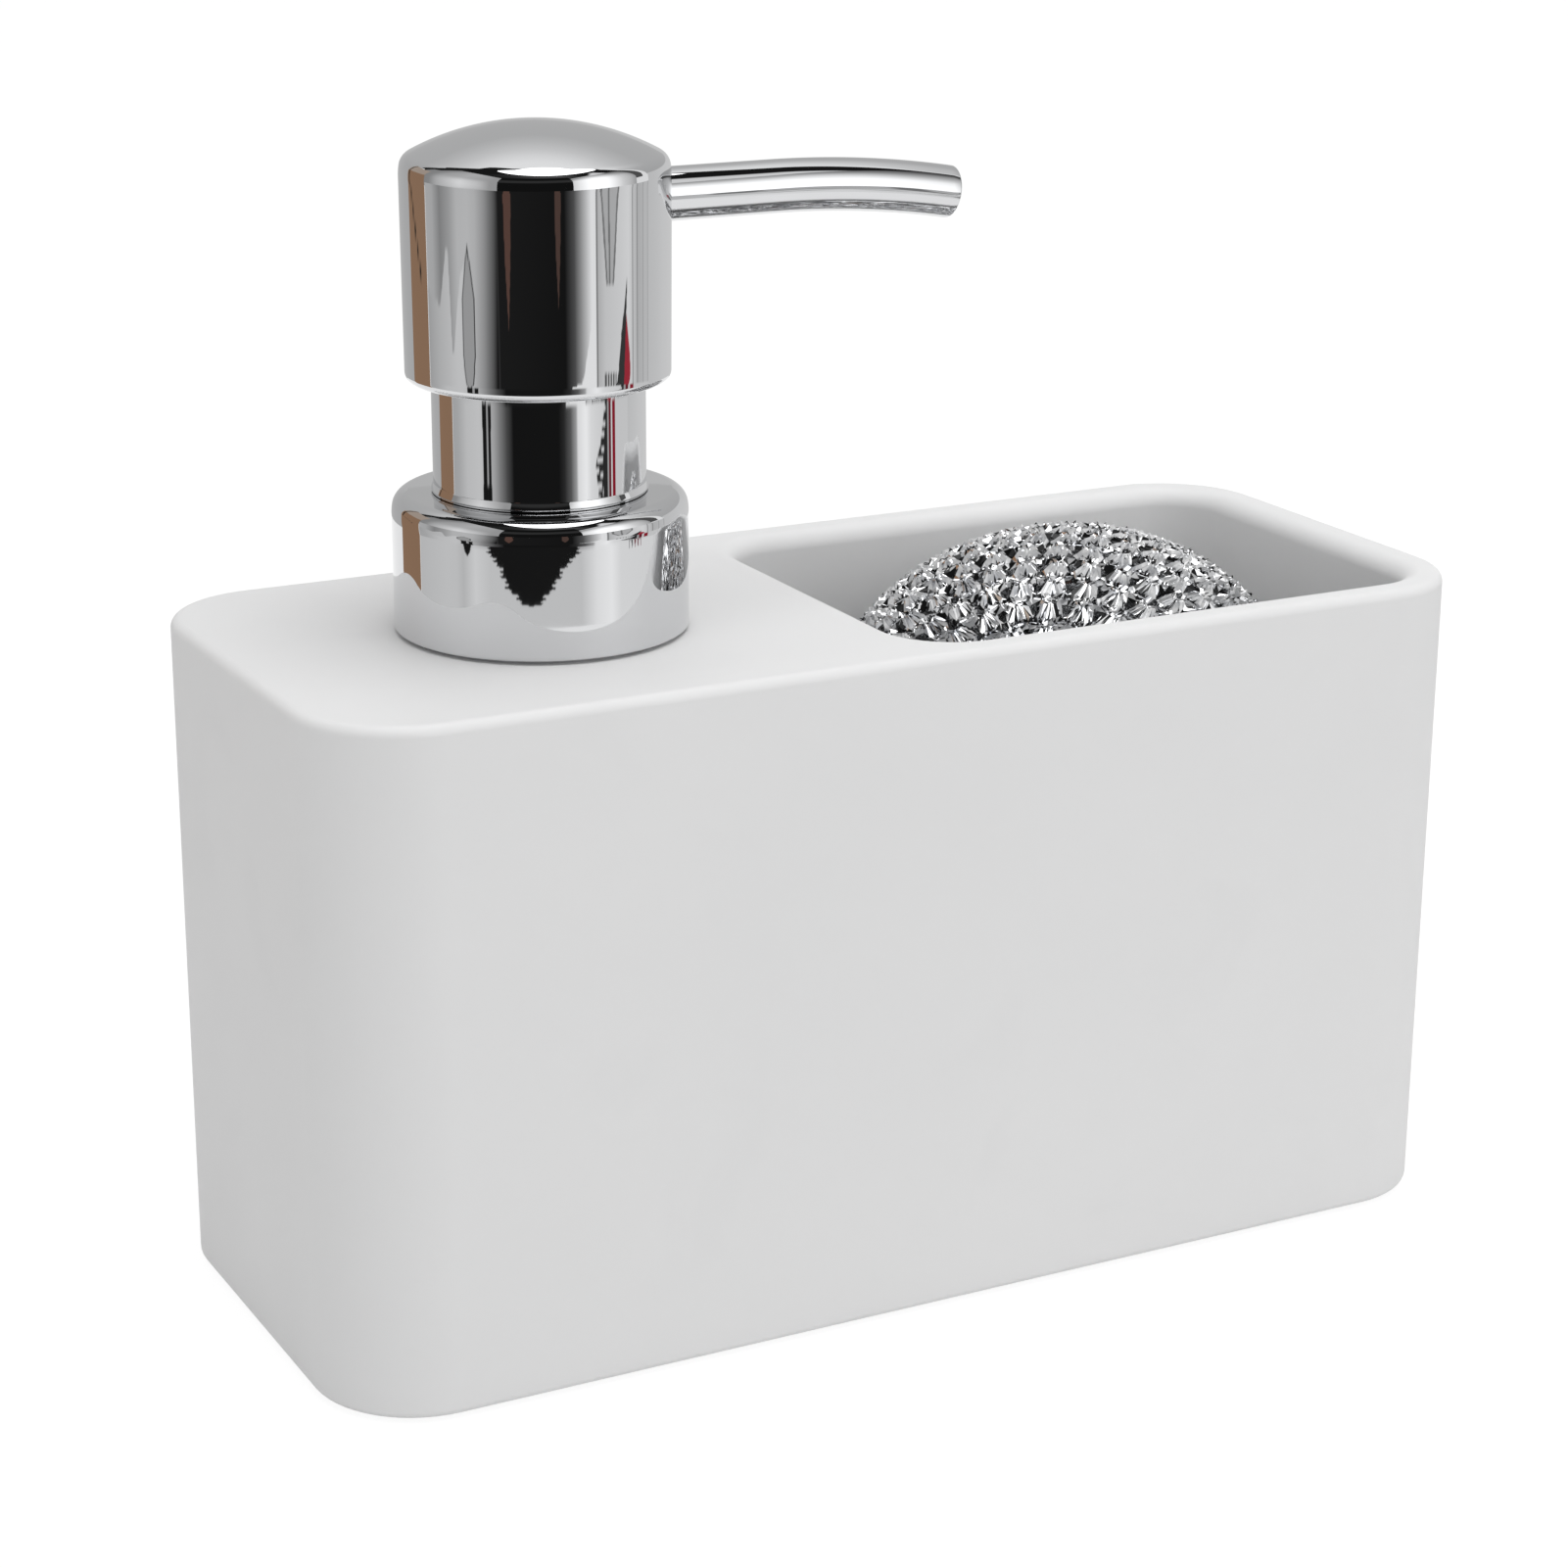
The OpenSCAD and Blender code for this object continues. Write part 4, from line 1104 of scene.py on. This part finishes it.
def head_mark(turn, up):
    """A gap, glint, fold or dark place in the upper cloth, or None."""
    off, half = abs(turn - gap_turn), between(gap_half, up)
    if half > 0 and off <= half:
        return dim if off <= half - 1 else (0.05 if turn > gap_turn else 0.16)
    for centre, halves, tone in glints:
        if 0 < between(halves, up) >= abs(turn - centre):
            return tone
    if up > fold_low:
        lines = [between(fold, up) for fold in folds]
        if min(abs(turn - line) for line in lines) < fold_half:
            return 0.24
        if lines[0] < turn < lines[2]:
            return 0.56
    if inside(turn, up, wedge_left, wedge_right):
        return 0.05
    if inside(turn, up, wedge_right, red_right):
        return (0.42, 0.035, 0.055)
    if up < dash_top and dash_left < turn < dash_right:
        return 0.12 if math.sin(turn * 2.4) > -0.3 else 0.8
    if min(abs(turn - line) for line in creases) < crease_half:
        return 0.34
    return None


# %% Marks on the part that sleeve and collar mirror
opening_top, opening_ragged = -14.8, [(-17.8, 0), (-17.7, 1)]
opening_left = [(-17.8, -8), (-17.7, -13), (-17.1, -25), (-16.3, -31), (-15.8, -38), (-15.2, -41), (-14.8, -30)]
opening_right = [(-17.8, -8), (-17.7, -2), (-17.1, 8), (-16.3, 17), (-15.8, 26), (-15.2, 30), (-14.8, 20)]
slit_turn, slit_light, slit_light_half, slit_light_low = -56.5, -55.9, 0.9, -13.6
slit_half = [(-16.0, 0), (-15.7, 2.5), (-14.8, 5.4), (-12.5, 4.6), (-10.6, 5.4), (sleeve_top, 0)]
bristle_low, bristle_high, bristle_right, bristle_edge = -14.6, -10.6, 76.5, 1.5
bristles = [(-14.6, 3), (-14.0, 11), (-13.0, 14), (-12.2, 8), (-11.2, 4), (-10.7, 2)]
stripes = [(76.5, 78.5, 0.45), (78.5, 81.5, deep_red), (81.5, 83.0, 0.80), (83.2, 87.5, bright_red)]
drip_low, drip_left, drip_middle, drip_right = -15.5, 69, 74, 81


def low_mark(turn, up):
    """The opening, a slit, or the line of dark bristles and red stripes in the lower cloth, or None."""
    if up < opening_top:
        ragged = between(opening_ragged, up) * (1.7 * math.sin(up * 31) + 1.1 * math.sin(up * 13 + 1))
        if between(opening_left, up) + ragged < turn < between(opening_right, up) - ragged:
            return dark
    if 0 < between(slit_half, up) >= abs(turn - slit_turn):
        return dim if abs(turn - slit_light) <= slit_light_half and up >= slit_light_low else dark
    if bristle_low < up < bristle_high:
        reach = (bristle_right - turn) / (between(bristles, up) + bristle_edge)
        if 0 < reach < 1 and (reach < 0.45 or math.sin(up * 12 + turn * 0.3) > -0.5):
            return 0.03
        for left, right, tone in stripes:
            if left <= turn < right:
                return tone
    if drip_left < turn < drip_right and opening_top > up > drip_low - 0.35 * math.sin(turn * 2.2):
        return (0.20, 0.05, 0.06) if turn > drip_middle else 0.16
    return None


# %% Hang the front cloth
head_lean = [(sleeve_top, 0.65), (-4, 0.4), (0, 0.3)]
front_turns, front_columns = (-103, 108), 422
side_turns, side_foot_z, side_foot_drop = (-131, -104), -17, 2.5
dark_line, dark_line_half = [(-6.8, -112), (-5.0, -120), (-3.0, -128), (30, -129)], 0.8


def front_tone(turn, up):
    """The cloth as it hangs. The head's wall leans out, so it mirrors each height a little lower."""
    if up > sleeve_top:
        up += between(head_lean, up)
        mark = head_mark(turn, up)
    else:
        mark = low_mark(turn, up)
    return cloth(turn, up) if mark is None else mark


def side_tone(turn, up):
    """Brown cloth at the far left, with a thin dark line across it."""
    if up > dark_line[0][0] and abs(turn - between(dark_line, up)) < dark_line_half:
        return 0.02
    return (0.33, 0.20, 0.125) if up < 12 else (0.46, 0.38, 0.32)


def side_foot(turn):
    return side_foot_z - side_foot_drop * (turn - side_turns[0]) / (side_turns[1] - side_turns[0])


patch("cloth_low", front_turns, -18.6, -14.4, front_tone, 300, front_columns, rows=84)
patch("cloth_front", front_turns, -14.4, 3.0, front_tone, 300, front_columns, rows=87)
patch("card_opening", (-31, 31), 3.0, 46, lambda turn, up: 0.008 + 0.03 * (18 < up < 32), 300, columns=24)
patch("card_brown", side_turns, side_foot, 30, side_tone, 350, columns=54, rows=96)

# %% [markdown]
# ## The tent and the ceiling
# Behind the cloth a pale tent stands round the caddy. Its sides are lit from above, so their
# tones change with depth and height. A narrow dark card at each side stands for the gap between
# tent and cloth. The head's dome and the top of the spout look up: they mirror a round softbox
# that hangs under a black sheet, and the sheet ends in an uneven line behind the pump.

# %% Tent around the pump
softbox_z, back_turns = 820, (108, 238)


def back_tone(turn, up):
    return between(
        [(8, 0.55), (12, 0.51), (36, 0.55), (42, 0.62), (50, 0.76), (56, 0.92), (60, 1.02), (66, 1.05)], up)


def foot_tone(turn, up):
    return between([(108, 0.70), (134, 0.75), (150, 0.72), (175, 0.60), (197, 0.52), (238, 0.52)], turn)


def back_top(turn):
    return between([(108, 50), (130, 58), (160, 64), (200, 64), (223, 57.5), (238, 40)], turn)


def left_tone(u, v):
    depth = between([(0, 0.30), (0.10, 0.32), (0.16, 0.48), (0.3, 0.58), (0.45, 0.50), (0.6, 0.42), (1, 0.40)], u)
    band = between([(0.11, 0), (0.31, 0.42), (0.45, 0.25), (0.58, 0)], u)
    return depth + band * between([(0.04, 0), (0.07, 1), (0.2, 0.8), (0.4, 0)], v)


def right_tone(u, v):
    depth = between(
        [(0, 0.45), (0.05, 0.70), (0.10, 0.85), (0.2, 1.45), (0.32, 1.75), (0.5, 1.25), (0.7, 0.8), (1, 0.4)], u)
    return depth * between([(0, 1.0), (0.5, 1.0), (0.78, 0.60), (0.87, 0.42), (1, 0.25)], v)


def tent_side(right, near, far, foot):
    """Corners of an upright card that stands right of the pump and runs away from the camera."""
    return [(right, near, foot), (right, near, softbox_z), (right, far, softbox_z), (right, far, foot)]


patch("wall_back", back_turns, 8, back_top, back_tone, 950)
patch("wall_low", back_turns, -16, 12, foot_tone, 480)
flat("tent_left", tent_side(-440, -200, 1100, 100), left_tone)
flat("tent_right", tent_side(600, -30, 1500, 60), right_tone)
gap_corners = [(600, -120, 190), (600, -150, softbox_z), (600, -30, softbox_z), (600, -30, 190)]
flat("tent_gap_right", gap_corners, 0.1, columns=2)
patch("tent_gap_left", (-125, -107), 30, 61, 0.02, 620, columns=8)

# %% Ceiling: a black sheet with a round softbox under it
sheet_z, sheet_half, sheet_near, sheet_depth = 835, 2500, 3000, 3400
sheet_back = [
    (-2500, -1100), (-760, -500), (-330, -430), (-157, -395), (-105, -352), (-70, -324), (200, -324), (260, -290),
    (334, -190), (480, -150), (600, -150), (2500, -600)]
window_left, window_tone = [(-150, 395), (-60, 420), (0, 470), (100, 520), (140, 560)], 0.85
box_right, box_toward, box_width, box_depth = 68, 8, 243, 340


def softbox_at(u, v):
    """A round card with a fuller far side: u goes round it and v from its middle to its edge."""
    side, depth = math.cos(2 * math.pi * u), math.sin(2 * math.pi * u)
    depth = box_depth * depth if depth > 0 else -box_depth * abs(depth) ** 0.55
    return studio(box_right + box_width * v * side, box_toward + v * depth, softbox_z)


def sheet_at(u, v):
    right = 2 * sheet_half * u - sheet_half
    return studio(right, sheet_near + (between(sheet_back, right) - sheet_near) * v, sheet_z)


def sheet_tone(u, v):
    """Black, with a faint glow in front of the softbox and a bright window at the right."""
    right, toward = 2 * sheet_half * u - sheet_half, sheet_near - sheet_depth * v
    if right > between(window_left, toward) and -140 < toward < 900:
        return window_tone
    glow = math.exp(-(((right - 150) / 330) ** 2)) * min(max((1300 - toward) / 800, 0), 1)
    return 0.012 + 0.08 * glow * (toward > 200)


hang("softbox_top", softbox_at, 3.0, columns=64, rows=2)
hang("ceiling_front", sheet_at, sheet_tone, columns=250, rows=85)
